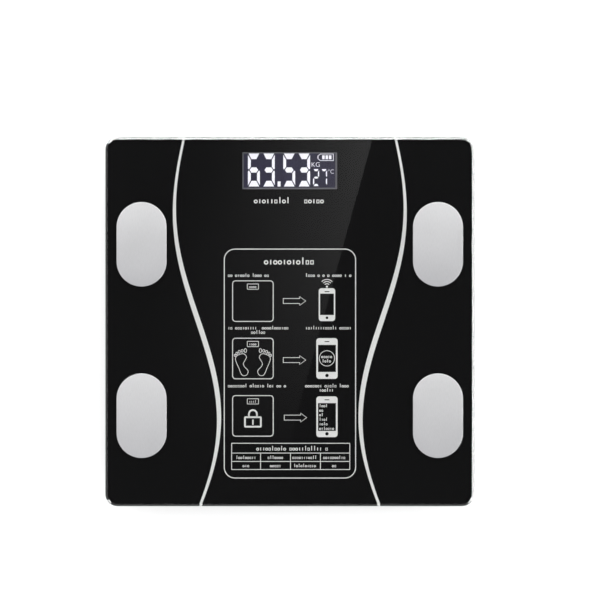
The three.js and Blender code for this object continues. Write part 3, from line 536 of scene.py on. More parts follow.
def sweep_x(y):
    """The sweep's middle at height y."""
    wave = SWEEP_SWING * math.cos(math.tau * (y - SWEEP_CREST) / SWEEP_PERIOD)
    return SWEEP_MIDDLE - wave + SWEEP_LEAN * y + SWEEP_BOW * y**2


def sweep_loop(side):
    """The outline of one sweep, with its width measured across its run."""
    left, right = [], []
    for step in range(SWEEP_STEPS + 1):
        y = FIELD_HALF - 2 * FIELD_HALF * step / SWEEP_STEPS
        slope = sweep_x(y + 0.5) - sweep_x(y - 0.5)
        swell = math.cos(math.pi * (y - SWELL_MIDDLE) / SWELL_LENGTH) ** 2
        width = SWEEP_THIN + (SWEEP_FULL - SWEEP_THIN) * swell
        across = width / 2 * math.hypot(1, slope)
        left.append((side * (sweep_x(y) - across), y))
        right.append((side * (sweep_x(y) + across), y))
    return left + right[::-1]


sweeps = [filled([sweep_loop(side)], *WHITE_FILM) for side in (1, -1)]
piece("white_sweeps", joined(sweeps, pane_floor), "platform", white_enamel)

# %% [markdown]
# ## Drawn lines, by Geometry Nodes
#
# The panel, the table, the arrows and the footprints are lines of one width along a path, which is what
# Curve to Mesh is for. The tree takes loose edges, joins them into curves, and sweeps a flat rectangle
# along them.

# %% The line-drawing tree
def new_tree(name, inputs):
    """A Geometry Nodes tree with a geometry in and out and these number inputs."""
    tree = bpy.data.node_groups.new(name, "GeometryNodeTree")
    tree.interface.new_socket("Geometry", in_out="INPUT", socket_type="NodeSocketGeometry")
    for label, value in inputs.items():
        kind = "NodeSocketInt" if isinstance(value, int) else "NodeSocketFloat"
        tree.interface.new_socket(label, in_out="INPUT", socket_type=kind).default_value = value
    tree.interface.new_socket("Geometry", in_out="OUTPUT", socket_type="NodeSocketGeometry")
    return tree, add(tree, "NodeGroupInput")


def end_tree(tree, shape, finish):
    """Ends a tree in Realize Instances and Set Material."""
    real = add(tree, "GeometryNodeRealizeInstances", {}, {0: shape})
    dressed = add(tree, "GeometryNodeSetMaterial", {"Material": finish}, {"Geometry": real.outputs[0]})
    add(tree, "NodeGroupOutput", {}, {0: dressed.outputs[0]})
    return tree


def drawn_by(tree, source, **values):
    """The plain mesh that the tree makes of a source mesh with these input values."""
    holder = bpy.data.objects.new("holder", source)
    bpy.context.scene.collection.objects.link(holder)
    nodes = holder.modifiers.new("drawing", "NODES")
    nodes.node_group = tree
    for item in tree.interface.items_tree:
        key = item.name.replace(" ", "_")
        if item.in_out == "INPUT" and key in values:
            nodes[item.identifier] = values[key]
    bpy.context.view_layer.update()
    graph = bpy.context.evaluated_depsgraph_get()
    mesh = bpy.data.meshes.new_from_object(holder.evaluated_get(graph))
    bpy.data.objects.remove(holder)
    return mesh


def line_tree():
    """Loose edges to ribbons of one width."""
    tree, given = new_tree("drawn_line", {"Line Width": 0.001, "Film": 0.0001})
    path = add(tree, "GeometryNodeMeshToCurve", {}, {"Mesh": given.outputs["Geometry"]})
    level = add(tree, "GeometryNodeSetCurveNormal", {"mode": "Z_UP"}, {"Curve": path.outputs[0]})
    pen = add(
        tree,
        "GeometryNodeCurvePrimitiveQuadrilateral",
        {"mode": "RECTANGLE"},
        {"Width": given.outputs["Line Width"], "Height": given.outputs["Film"]},
    )
    ribbon = add(
        tree,
        "GeometryNodeCurveToMesh",
        {"Fill Caps": True},
        {"Curve": level.outputs[0], "Profile Curve": pen.outputs[0]},
    )
    return end_tree(tree, ribbon.outputs[0], white_enamel)


LINE_TREE = line_tree()


def lines(paths, width, closed=True):
    """Ribbons of white enamel along paths of points in millimetres."""
    vertices, edges = [], []
    for path in paths:
        start = len(vertices)
        vertices += [(x * MM, y * MM, (WHITE_FILM[0] + WHITE_FILM[1]) / 2 * MM) for x, y in path]
        edges += [(start + i, start + i + 1) for i in range(len(path) - 1)]
        if closed:
            edges.append((len(vertices) - 1, start))
    source = bpy.data.meshes.new("path")
    source.from_pydata(vertices, edges, [])
    thickness = (WHITE_FILM[1] - WHITE_FILM[0]) * MM
    return drawn_by(LINE_TREE, source, Line_Width=width * MM, Film=thickness)


def smooth_loop(points, steps=5):
    """A closed Catmull-Rom curve through a few points."""
    loop, count = [], len(points)
    for i in range(count):
        a, b, c, d = (Vector(points[(i + k) % count]) for k in (-1, 0, 1, 2))
        for step in range(steps):
            t = step / steps
            square, cube = 2 * a - 5 * b + 4 * c - d, 3 * b - a - 3 * c + d
            point = 0.5 * (2 * b + (c - a) * t + square * t**2 + cube * t**3)
            loop.append((point.x, point.y))
    return loop


def arc(x, y, radius, start, end, steps=12):
    """Points on an arc between two angles in degrees."""
    angles = [math.radians(start + (end - start) * i / steps) for i in range(steps + 1)]
    return [(x + radius * math.cos(a), y + radius * math.sin(a)) for a in angles]


# %% [markdown]
# ## The instruction panel
#
# A round-cornered frame holds six steps, two in each of three rows: a scale, an arrow and a phone. A
# table closes it at the bottom. The panel's sizes are the few below, and each row is drawn from its
# middle.

# %% The panel's sizes
PANEL = (-46.2, -110.2, 46.4, 51.2)
ROWS = [14.5 - 40.45 * row for row in range(3)]
SCALE_X, PHONE_X = -26.0, 26.2
SCALE_HALF = 14.3
TABLE = (-41.0, -104.2, 42.3, -85.7)
TABLE_HEADER, TABLE_SPLIT = -92.6, -98.5
TABLE_COLUMNS = (-20.6, 0.5, 21.6)
PANEL_LINE, DRAWING_LINE, TABLE_LINE, FINE_LINE = 0.64, 0.58, 0.5, 0.42

# %% The panel's frame and table
panel_lines = [lines([box_loop(*PANEL, radius=7.6, steps=10)], PANEL_LINE)]
panel_lines.append(lines([box_loop(*TABLE, radius=0.2)], TABLE_LINE))
rules = [
    [(TABLE[0], TABLE_HEADER), (TABLE[2], TABLE_HEADER)],
    [(TABLE[0], TABLE_SPLIT), (TABLE[2], TABLE_SPLIT)],
]
rules += [[(x, TABLE_HEADER), (x, TABLE[1])] for x in TABLE_COLUMNS]
panel_lines.append(lines(rules, TABLE_LINE, closed=False))
piece("white_panel_lines", joined(panel_lines, pane_floor), "platform", white_enamel)

# %% [markdown]
# ### The drawings in the steps
#
# Each row shows the scale as a round-cornered box with its little display, and an outlined arrow. The
# scale in the second row has two footprints on it, and the one in the third a padlock.

# %% Scales, arrows, footprints and padlock
SOLE = ((2.5, 5.5), (3.6, 3.6), (2.4, 1.2), (1.4, -0.9), (2.2, -3.1), (4.3, -5.3), (4.7, -7.0))
SOLE += ((3.4, -9.1), (0.8, -9.2), (-0.7, -7.0), (-1.7, -4.3), (-3.3, -0.7), (-4.2, 2.4), (-3.3, 4.5))
SOLE += ((-0.6, 5.8), (1.2, 6.1))
TOES = ((2.8, 8.3, 0.85, 1.4), (0.5, 8.1, 0.75, 1.0), (-1.6, 7.4, 0.75, 1.0), (-3.3, 6.3, 0.65, 0.85))
TOES += ((-4.5, 4.9, 0.6, 0.75),)
FOOT_X = 8.1


def scale_drawing(row):
    """The little scale: its outline and its display."""
    outline = box_loop(SCALE_X - SCALE_HALF, row - SCALE_HALF, SCALE_X + SCALE_HALF, row + SCALE_HALF, 2.1)
    window = box_loop(SCALE_X - 3.95, row + 8.4, SCALE_X + 3.95, row + 12.1, 0.3)
    return [lines([outline], DRAWING_LINE), lines([window], FINE_LINE)]


def arrow_drawing(x, y):
    """An outlined arrow that points to the phone, from the middle of its tail."""
    neck, tip, shaft, head = 11.6, 15.8, 1.75, 3.1
    upper = [(0, shaft), (neck, shaft), (neck, head), (tip, 0)]
    outline = upper + [(px, -py) for px, py in upper[-2::-1]]
    return [lines([shifted(outline, x, y)], DRAWING_LINE)]


def footprint_drawing(row, side):
    """One bare footprint, the left one mirrored for the right."""
    loops = [smooth_loop(SOLE)]
    ring = arc(0, 0, 1, 0, 330, 11)
    loops += [shifted([(rx * x, ry * y) for x, y in ring], cx, cy) for cx, cy, rx, ry in TOES]
    placed = [[(SCALE_X + side * (FOOT_X - x), y + row - 2.7) for x, y in loop] for loop in loops]
    return [lines(placed, FINE_LINE)]


def padlock_drawing(row):
    """A padlock: a box with a keyhole slot under a round shackle."""
    body = box_loop(SCALE_X - 5.6, row - 7.6, SCALE_X + 5.6, row - 0.9, 0.4)
    bow = arc(SCALE_X, row + 1.3, 2.8, 0, 180)
    shackle = [(SCALE_X + 2.8, row - 0.9), *bow, (SCALE_X - 2.8, row - 0.9)]
    slot = [(SCALE_X, row - 2.6), (SCALE_X, row - 6.2)]
    return [lines([body], 1.2), lines([shackle], 1.2, closed=False), lines([slot], 1.0, closed=False)]


ARROWS = ((-4.6, 0.1), (-4.6, -1.1), (-3.9, -1.2))  # each arrow's tail, and its drop from the row's middle
drawings = []
for row, (arrow_x, arrow_drop) in zip(ROWS, ARROWS):
    drawings += scale_drawing(row) + arrow_drawing(arrow_x, row + arrow_drop)
drawings += footprint_drawing(ROWS[1], 1) + footprint_drawing(ROWS[1], -1)
drawings += padlock_drawing(ROWS[2])
piece("white_step_drawings", joined(drawings, pane_floor), "platform", white_enamel)

# %% [markdown]
# ### The phones
#
# A phone is a filled shape with holes: its screen, its round button and its speaker slot. The first one
# sends radio waves, the second shows a ring, and the third a list.

# %% The phones and what is on and over them
def phone_drawing(row, half_x, half_y, screen):
    """A filled phone with a screen hole between two heights, a button hole and a speaker slot."""
    margin = half_x * 0.16
    body = box_loop(PHONE_X - half_x, row - half_y, PHONE_X + half_x, row + half_y, 2.0)
    left, right = PHONE_X - half_x + margin, PHONE_X + half_x - margin
    glass = box_loop(left, row + screen[0], right, row + screen[1], 0.1)
    button = arc(PHONE_X, row - half_y + 2.35, half_x * 0.16, 0, 345, 23)
    speaker = box_loop(PHONE_X - 1.7, row + half_y - 2.7, PHONE_X + 1.7, row + half_y - 2.1, 0.2)
    return filled([body, glass, button, speaker], *WHITE_FILM)


SMALL_PHONE, LARGE_PHONE = (5.8, 11.6), (7.5, 14.35)
phones = [phone_drawing(ROWS[0] - 2.5, *SMALL_PHONE, (-7.3, 7.8))]
phones.append(phone_drawing(ROWS[1], *LARGE_PHONE, (-9.5, 9.6)))
phones.append(phone_drawing(ROWS[2] - 0.6, *LARGE_PHONE, (-10.0, 9.6)))
waves = [arc(PHONE_X, 24.8, radius, 42, 138) for radius in (2.0, 3.5, 5.0)]
phones.append(lines(waves, DRAWING_LINE, closed=False))
phones.append(filled([arc(PHONE_X, 24.7, 0.75, 0, 345, 23)], *WHITE_FILM))
phones.append(lines([arc(PHONE_X, ROWS[1] + 0.1, 5.4, 0, 350, 35)], FINE_LINE))
piece("white_phones", joined(phones, pane_floor), "platform", white_enamel)

# %% [markdown]
# ### Blocked-in text
#
# The words are left out. What stands for them is blocked-in text, as a designer uses for a layout:
# rings, boxes and stems as tall as letters, broken by gaps where words would end. Geometry Nodes set out
# one mark at each letter's place, drop some for the gaps, and pick the kind of the rest, all from a
# fixed seed.

# %% The blocked-in text tree
def text_tree():
    """A row of letter-sized rings, boxes and stems, with gaps, that grows to the right from the origin."""
    inputs = {"Length": 0.02, "Letter Height": 0.002, "Pitch": 0.001, "Stroke": 0.0005, "Film": 0.0001}
    tree, given = new_tree("blocked_text", {**inputs, "Gaps": 0.1, "Seed": 1})
    height, stroke, thick = (given.outputs[key] for key in ("Letter Height", "Stroke", "Film"))

    def times(value, factor):
        return add(tree, "ShaderNodeMath", {"operation": "MULTIPLY", 1: factor}, {0: value}).outputs[0]

    def stem(share):
        """A stem of that share of the letter height, standing on the foot of the line."""
        size = add(tree, "ShaderNodeCombineXYZ", {}, {"X": stroke, "Y": times(height, share), "Z": thick})
        bar = add(tree, "GeometryNodeMeshCube", {}, {"Size": size.outputs[0]})
        drop = add(tree, "ShaderNodeCombineXYZ", {}, {"Y": times(height, (share - 1) / 2)})
        return add(tree, "GeometryNodeTransform", {}, {0: bar.outputs[0], "Translation": drop.outputs[0]})

    def outline(curve):
        """A stroke round a small closed curve that stands on the foot of the line."""
        shape = {"Curve": curve.outputs[0], "Profile Curve": pen.outputs[0]}
        drawn = add(tree, "GeometryNodeCurveToMesh", {}, shape)
        drop = add(tree, "ShaderNodeCombineXYZ", {}, {"Y": times(height, -0.2)})
        return add(tree, "GeometryNodeTransform", {}, {0: drawn.outputs[0], "Translation": drop.outputs[0]})

    pen_sides = {"Width": stroke, "Height": thick}
    pen = add(tree, "GeometryNodeCurvePrimitiveQuadrilateral", {"mode": "RECTANGLE"}, pen_sides)
    radius = {"Radius": times(height, 0.24)}
    ring = add(tree, "GeometryNodeCurvePrimitiveCircle", {"Resolution": 12}, radius)
    box_sides = {"Width": times(height, 0.36), "Height": times(height, 0.48)}
    box = add(tree, "GeometryNodeCurvePrimitiveQuadrilateral", {"mode": "RECTANGLE"}, box_sides)
    bowl = outline(ring)
    marks = add(tree, "GeometryNodeJoinGeometry")
    for mark in (stem(1.0), bowl, outline(box), stem(0.66), bowl):
        kept = add(tree, "GeometryNodeGeometryToInstance", {}, {0: mark.outputs[0]})
        tree.links.new(kept.outputs[0], marks.inputs[0])

    share = {0: given.outputs["Length"], 1: given.outputs["Pitch"]}
    places = add(tree, "ShaderNodeMath", {"operation": "DIVIDE"}, share)
    step = add(tree, "ShaderNodeCombineXYZ", {}, {"X": given.outputs["Pitch"]})
    row = add(
        tree,
        "GeometryNodeMeshLine",
        {"mode": "OFFSET"},
        {"Count": places.outputs[0], "Offset": step.outputs[0]},
    )
    gap = add(
        tree,
        "FunctionNodeRandomValue",
        {"data_type": "BOOLEAN"},
        {"Probability": given.outputs["Gaps"], "Seed": given.outputs["Seed"]},
    )
    words = add(
        tree,
        "GeometryNodeDeleteGeometry",
        {"domain": "POINT"},
        {"Geometry": row.outputs[0], "Selection": gap.outputs[3]},
    )
    kind = add(
        tree,
        "FunctionNodeRandomValue",
        {"data_type": "INT", 4: 0, 5: 4},
        {"Seed": given.outputs["Seed"]},
    )
    letters = add(
        tree,
        "GeometryNodeInstanceOnPoints",
        {"Pick Instance": True},
        {"Points": words.outputs[0], "Instance": marks.outputs[0], "Instance Index": kind.outputs[2]},
    )
    return end_tree(tree, letters.outputs[0], white_enamel)


TEXT_TREE = text_tree()
ONE_WORD = 9.0  # a line no longer than this many letter heights is one word, so it has no gaps


def blocked_text(x, y, length, height, seed, film=WHITE_FILM):
    """One line of blocked-in text from x to the right, centred on height y."""
    pitch = height * 0.66
    mesh = drawn_by(
        TEXT_TREE,
        bpy.data.meshes.new("empty"),
        Length=length * MM,
        Letter_Height=height * MM,
        Pitch=pitch * MM,
        Stroke=height * 0.18 * MM,
        Film=(film[1] - film[0]) * MM,
        Gaps=0.12 if length > ONE_WORD * height else 0.0,
        Seed=seed,
    )
    for vertex in mesh.vertices:
        vertex.co += Vector((x + pitch / 2, y, (film[0] + film[1]) / 2)) * MM
    return mesh


# %% All the lines of text: where each starts, how long and how tall it is
TITLE_LINES = [(-18.3, 42.8, 38.2, 4.9), (-25.4, 85.6, 26.7, 4.3), (9.9, 85.6, 15.1, 4.3)]
STEP_LINES = [
    [(-43.8, 18.4, 29.2), (10.9, 18.4, 33.4)],
    [(-43.8, 21.8, 44.0), (-27.5, 18.7, 11.4), (10.9, 21.8, 34.0)],
    [(-43.8, 21.4, 41.2), (10.7, 21.4, 31.0), (20.6, 18.4, 11.2)],
]
CELL_TEXTS = [(14.5, 11.4, 18.8, 17.2), (5.1, 8.1, 16.8, 4.6)]
LIST_LENGTHS = (7.0, 4.2, 3.4, 7.4, 6.4, 11.0)
FIRST_SEED = 11

texts = list(TITLE_LINES)
for row, row_lines in zip(ROWS, STEP_LINES):
    texts += [(x, row + y, length, 2.6) for x, y, length in row_lines]
    texts.append((SCALE_X - 2.8, row + 10.25, 5.8, 2.0))
texts.append((-25.8, -89.2, 53.0, 3.2))
column_edges = (TABLE[0], *TABLE_COLUMNS, TABLE[2])
table_rows = ((TABLE_HEADER + TABLE_SPLIT) / 2, (TABLE_SPLIT + TABLE[1]) / 2)
for level, lengths in zip(table_rows, CELL_TEXTS):
    for left, right, length in zip(column_edges, column_edges[1:], lengths):
        texts.append(((left + right - length) / 2, level, length, 2.4))
texts += [(PHONE_X - 5.6, ROWS[2] + 7.3 - 3.2 * i, length, 2.3) for i, length in enumerate(LIST_LENGTHS)]
texts += [(PHONE_X - 4.2, ROWS[1] + 1.5, 8.6, 2.4), (PHONE_X - 3.5, ROWS[1] - 1.6, 7.0, 2.4)]
printed = [blocked_text(*text, seed=seed) for seed, text in enumerate(texts, FIRST_SEED)]
piece("white_blocked_text", joined(printed, pane_floor), "platform", white_enamel)
print(len(texts), "lines of blocked-in text")

# %% [markdown]
# ## The display
#
# Behind the window is a reversed liquid crystal display: the film over it is dark violet, and only the
# driven segments let the white backlight through. The film stops short of the glass, which shows as a
# grey rim.

# %% The display's film and its light
def film_finish():
    """Polarising film: dark violet, a little uneven, and less glossy than a surface in air."""
    dim = {"Specular IOR Level": 0.35}
    return grained("polarising_film", ("#1b1830", "#26223b"), 4.0, 0.3, gloss_change=0.04, **dim)


def lit_finish():
    """A driven segment: the white backlight seen through the cell, a little uneven."""
    finish = grained("lit_segment", ("#c8c6d0", "#d4d2da"), 1.0, 0.4)
    shader = next(n for n in finish.node_tree.nodes if n.type == "BSDF_PRINCIPLED")
    shader.inputs["Emission Color"].default_value = linear("#f7f4ff")
    shader.inputs["Emission Strength"].default_value = 0.4
    return finish


lcd_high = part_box("lcd_panel")[1]
lcd_top = Vector((MIDDLE.x, MIDDLE.y, lcd_high.z))
FILM_LAYER, SEGMENT_LAYER = (0.01, 0.09), (0.11, 0.17)
film_box = (window[0] + 0.9, window[1] + 1.1, window[2] - 1.3, window[3] - 0.8)
film = filled([box_loop(*film_box)], *FILM_LAYER)
piece("display_film", joined([film], lcd_top), "platform", film_finish())

# %% [markdown]
# ### Seven segments
#
# A digit is seven slanted bars with thin gaps. The level bars are thick and the upright ones thin. One
# function draws a digit of any size, so the large and the small digits share it.

# %% Draw the digits
BARS = {"2": "abged", "3": "abgcd", "5": "afgcd", "6": "afgecd", "7": "abc"}
GAP = 0.46


def digit_loops(character, x, y, width, height, upright, level):
    """The bars of one digit whose lower left corner is at x, y."""
    middle, half = height / 2, level * 0.46
    low_left, low_right = (upright + GAP, height - level), (width - upright - GAP, height - level)
    top = [(GAP, height), (width - GAP, height), low_right, low_left]
    side_high = [
        (0, height - 2 * GAP),
        (upright, height - level - GAP),
        (upright, middle + half + GAP),
        (upright * 0.35, middle + GAP),
        (0, middle + 2 * GAP),
    ]
    bar = [
        (upright * 0.6, middle),
        (upright + GAP, middle + half),
        (width - upright - GAP, middle + half),
        (width - upright * 0.6, middle),
        (width - upright - GAP, middle - half),
        (upright + GAP, middle - half),
    ]

    def turned_over(loop):
        return [(px, height - py) for px, py in loop]

    def mirrored(loop):
        return [(width - px, py) for px, py in loop]

    bars = {"a": top, "f": side_high, "g": bar, "d": turned_over(top), "e": turned_over(side_high)}
    bars["b"], bars["c"] = mirrored(bars["f"]), mirrored(bars["e"])
    return [shifted(bars[letter], x, y) for letter in BARS[character]]


def unit_letters(text, x, y, height):
    """A unit in plain thin letters, as a flat film."""
    curve = bpy.data.curves.new("unit", "FONT")
    curve.body = text
    curve.size = height * 1.4 * MM
    curve.offset = -height * 0.015 * MM
    curve.extrude = (SEGMENT_LAYER[1] - SEGMENT_LAYER[0]) * MM / 2
    drawn = bpy.data.objects.new("unit", curve)
    bpy.context.scene.collection.objects.link(drawn)
    bpy.context.view_layer.update()
    graph = bpy.context.evaluated_depsgraph_get()
    mesh = bpy.data.meshes.new_from_object(drawn.evaluated_get(graph))
    bpy.data.objects.remove(drawn)
    for vertex in mesh.vertices:
        vertex.co += Vector((x, y, (SEGMENT_LAYER[0] + SEGMENT_LAYER[1]) / 2)) * MM
    return mesh


DIGIT_WIDTH, DIGIT_HEIGHT, DIGIT_PITCH, POINT_SHARE = 8.4, 23.3, 10.5, 3.9
digits_x = display.x - 29.5
digits_y = window[1] + 1.9
lit = []
for place, character in enumerate("6353"):
    x = digits_x + DIGIT_PITCH * place + POINT_SHARE * (place > 1)
    for loop in digit_loops(character, x, digits_y, DIGIT_WIDTH, DIGIT_HEIGHT, 2.0, 4.0):
        lit.append(filled([loop], *SEGMENT_LAYER))
point_x = digits_x + 2 * DIGIT_PITCH
lit.append(filled([box_loop(point_x - 0.1, digits_y, point_x + 2.0, digits_y + 3.6, 0.1)], *SEGMENT_LAYER))
for place, character in enumerate("27"):
    x = display.x + 16.4 + 5.6 * place
    for loop in digit_loops(character, x, window[1] + 2.2, 4.3, 12.0, 0.85, 1.5):
        lit.append(filled([loop], *SEGMENT_LAYER))
lit.append(unit_letters("KG", display.x + 15.0, window[1] + 15.8, 3.3))
lit.append(unit_letters("°C", display.x + 26.7, window[1] + 11.0, 3.0))

# %% Draw the battery: a thin case with a pointed end round three bars, then make the piece
BATTERY_LEFT, BATTERY_BOTTOM = display.x + 19.6, window[1] + 20.0
BATTERY_LENGTH, BATTERY_HEIGHT = 11.3, 5.0
CASE_LINE = 0.4


def case_loop(inset):
    """The battery's outline, pointed at the left, moved in by the inset."""
    right, top = BATTERY_LENGTH - inset, BATTERY_HEIGHT - inset
    tip, shoulder, neck = inset * 1.4, 1.9 + inset * 0.4, BATTERY_HEIGHT * 0.3
    left_side = [(shoulder, top), (tip, BATTERY_HEIGHT - neck), (tip, neck), (shoulder, inset)]
    return shifted([(right, inset), (right, top), *left_side], BATTERY_LEFT, BATTERY_BOTTOM)


lit.append(filled([case_loop(0.0), case_loop(CASE_LINE)], *SEGMENT_LAYER))
for bar in range(3):
    left = BATTERY_LEFT + 3.2 + 2.4 * bar
    bar_sides = (left, BATTERY_BOTTOM + 1.1, left + 1.8, BATTERY_BOTTOM + BATTERY_HEIGHT - 1.1)
    lit.append(filled([box_loop(*bar_sides)], *SEGMENT_LAYER))
piece("display_segments", joined(lit, lcd_top), "platform", lit_finish())
print(len(lit), "lit shapes on the display")

# %% [markdown]
# ## The electrodes
#
# Each electrode is a stadium of brushed stainless steel strip with a rolled edge, on a stud that goes
# through the glass to a nut. Weak currents pass through it to estimate body fat.

# %% The four electrodes
STUD_RADIUS = 2.0


def electrode(corner):
    """A stadium plate with a rounded edge, on its stud."""
    node = f"electrode_{corner}"
    low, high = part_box(node)
    nut_low, nut_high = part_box(f"electrode_nut_{corner}")
    half_x, half_y = (high.x - low.x) / 2 / MM, (high.y - low.y) / 2 / MM
    thickness = (high.z - glass_high.z) / MM
    middle = Vector(((low.x + high.x) / 2, (low.y + high.y) / 2, glass_high.z))
    plate = loft(node, middle, half_x, half_y, half_x, [(0, 0), (0, thickness)])
    stud_floor = Vector(((nut_low.x + nut_high.x) / 2, (nut_low.y + nut_high.y) / 2, low.z))
    rise = (glass_high.z - low.z) / MM
    stud = loft("stud", stud_floor, STUD_RADIUS, STUD_RADIUS, STUD_RADIUS, [(0, 0), (0, rise)])
    return piece(
        f"{node}_plate",
        joined([plate, stud], Vector()),
        "platform",
        FINISHES["stainless_steel"],
        edge_mm=0.16,
        replaces=[node],
    )


for corner in CORNERS:
    electrode(corner)

# %% [markdown]
# ## The tray, the battery door, the button and the foot caps
#
# These CAD shapes are right as they are, but their curves are facets and their flat faces are cut into
# many triangles. In a copy of each, the triangles of every flat face are joined and the curves are
# shaded smooth.

# %% Smooth copies of the moulded parts
def smooth_copy(node, body, slot):
    """A smooth-shaded copy of a CAD node, with whole flat faces, that stands in for it."""
    return piece(
        f"{node}_moulding",
        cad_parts[node].data.copy(),
        body,
        FINISHES[slot],
        smooth_angle=32,
        replaces=[node],
        join_facets=True,
    )


smooth_copy("base_shell", "platform", "black_abs")
smooth_copy("battery_door", "battery_door", "black_abs")
smooth_copy("unit_button", "unit_button", "grey_abs")
for corner in CORNERS:
    smooth_copy(f"foot_cap_{corner}", f"foot_{corner}", "black_abs")

# %% [markdown]
# ## The foot pads
#
# A rubber pad is pressed on each foot. Its sole has round ridges, which grip a wet floor and let water
# out.

# %% The four rubber pads
RIDGES, RIDGE_PITCH, RIDGE_WIDTH, RIDGE_DEPTH, PAD_EDGE = 4, 3.4, 2.0, 0.5, 0.5


def pad_profile(radius, height):
    """(inset, height) from the middle of the sole outwards, up the side and in again over the top."""
    profile = [(radius - 2.0, RIDGE_DEPTH)]
    for ridge in range(RIDGES):
        start = 3.0 + RIDGE_PITCH * ridge
        end = start + RIDGE_WIDTH
        for r, z in ((start, RIDGE_DEPTH), (start + 0.2, 0), (end - 0.2, 0), (end, RIDGE_DEPTH)):
            profile.append((radius - r, z))
    profile += [(PAD_EDGE + 1.0, RIDGE_DEPTH), (PAD_EDGE, RIDGE_DEPTH + 0.05), (0.12, RIDGE_DEPTH + 0.3)]
    profile += [(0, RIDGE_DEPTH + 0.6), (0, height - 0.2), (0.2, height), (radius - 2.0, height)]
    return profile


for corner in CORNERS:
    low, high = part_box(f"foot_pad_{corner}")
    radius, height = (high.x - low.x) / 2 / MM, (high.z - low.z) / MM
    middle = Vector(((low.x + high.x) / 2, (low.y + high.y) / 2, low.z))
    sole = loft("pad", middle, radius, radius, radius, pad_profile(radius, height))
    piece(
        f"foot_pad_{corner}_rubber",
        sole,
        f"foot_{corner}",
        FINISHES["foot_rubber"],
        smooth_angle=40,
        replaces=[f"foot_pad_{corner}"],
    )

# %% [markdown]
# ## The studio
#
# A white table that glows a little, so it stays white under the scale's edge, soft light from all round,
# and a dark patch of sky straight overhead, which is what the glass reflects. A strip of light low
# behind the scale and a weaker one at its right run along the polished arris. They are low and narrow,
# so that the flat of the glass doesn't mirror them to an eye beside the scale.

# %% The table
def studio_table():
    """A pale table, seen from above only, with a faint glow of its own."""
    finish = bpy.data.materials.new("pale_table")
    finish.use_nodes = True
    tree = finish.node_tree
    tree.nodes.clear()
    place = add(tree, "ShaderNodeTexCoord").outputs["Object"]
    mottle = add(tree, "ShaderNodeTexNoise", {"Scale": 3.0, "Detail": 2.0}, {"Vector": place}).outputs[0]
    tone = add(
        tree,
        "ShaderNodeMix",
        {"data_type": "RGBA", 6: linear("#dcdcdc"), 7: linear("#e2e2e2")},
        {0: mottle},
    ).outputs[2]
    pale = add(
        tree,
        "ShaderNodeBsdfPrincipled",
        {"Roughness": 0.8, "Emission Color": linear("#ffffff"), "Emission Strength": 0.35},
        {"Base Color": tone},
    )
    clear = add(tree, "ShaderNodeBsdfTransparent")
    under = add(tree, "ShaderNodeNewGeometry").outputs["Backfacing"]
    side = add(tree, "ShaderNodeMixShader", {}, {0: under, 1: pale.outputs[0], 2: clear.outputs[0]})
    add(tree, "ShaderNodeOutputMaterial", {}, {"Surface": side.outputs[0]})
    return finish


TABLE_HALF = 6.0
table_mesh = bpy.data.meshes.new("studio_table")
table_mesh.from_pydata(
    [(x * TABLE_HALF, y * TABLE_HALF, -0.05 * MM) for x, y in ((-1, -1), (1, -1), (1, 1), (-1, 1))],
    [],
    [(0, 1, 2, 3)],
)
table_mesh.materials.append(studio_table())
table = bpy.data.objects.new("studio_table", table_mesh)
bpy.context.scene.collection.objects.link(table)

# %% The sky: bright round the sides, dark overhead
SKY_BRIGHT, SKY_OVERHEAD = 1.28, 0.105
SKY_LEAN = 0.25  # how much brighter the sky is behind the scale than in front of it
world = bpy.data.worlds.new("soft_studio")
bpy.context.scene.world = world
world.use_nodes = True
sky = world.node_tree
sky.nodes.clear()
direction = add(sky, "ShaderNodeTexCoord").outputs["Generated"]
compass = add(sky, "ShaderNodeSeparateXYZ", {}, {"Vector": direction})
overhead = add(
    sky,
    "ShaderNodeMapRange",
    {
        "interpolation_type": "SMOOTHSTEP",
        "From Min": math.sin(math.radians(73)),
        "From Max": math.sin(math.radians(81)),
        "To Min": SKY_BRIGHT,
        "To Max": SKY_OVERHEAD,
    },
    {"Value": compass.outputs["Z"]},
).outputs[0]
lean = add(
    sky,
    "ShaderNodeMapRange",
    {"From Min": -1.0, "From Max": 1.0, "To Min": 1 - SKY_LEAN, "To Max": 1 + SKY_LEAN},
    {"Value": compass.outputs["Y"]},
).outputs[0]
both = add(sky, "ShaderNodeMath", {"operation": "MULTIPLY"}, {0: overhead, 1: lean}).outputs[0]
glow = add(sky, "ShaderNodeBackground", {"Color": linear("#ffffff")}, {"Strength": both})
add(sky, "ShaderNodeOutputWorld", {}, {"Surface": glow.outputs[0]})

# %% The strips of light
def strip_light(name, place, width, height, radiance):
    """A rectangular lamp that faces the scale. Its power follows from how bright it should look."""
    lamp = bpy.data.lights.new(name, "AREA")
    lamp.shape = "RECTANGLE"
    lamp.size, lamp.size_y = width, height
    lamp.energy = radiance * math.pi * width * height
    holder = bpy.data.objects.new(name, lamp)
    bpy.context.scene.collection.objects.link(holder)
    holder.location = place
    holder.rotation_euler = (-Vector(place)).to_track_quat("-Z", "Y").to_euler()
    holder.visible_camera = False
    return holder


STRIP_RISE, STRIP_HEIGHT = 0.15, 0.16  # how high a strip hangs over the table, and how tall it is
STRIP_AWAY, CORNER_AWAY = 1.3, 1.1
strip_light("strip_behind", (0, STRIP_AWAY, STRIP_RISE), 2.4, STRIP_HEIGHT, 15.0)
strip_light("strip_right", (STRIP_AWAY, 0, STRIP_RISE), 2.0, STRIP_HEIGHT, 16.0)
for side_x, side_y in ((1, 1), (-1, 1), (1, -1), (-1, -1)):
    place = (CORNER_AWAY * side_x, CORNER_AWAY * side_y, STRIP_RISE)
    strip_light(f"strip_corner_{side_x}_{side_y}", place, 0.5, STRIP_HEIGHT, 12.0)

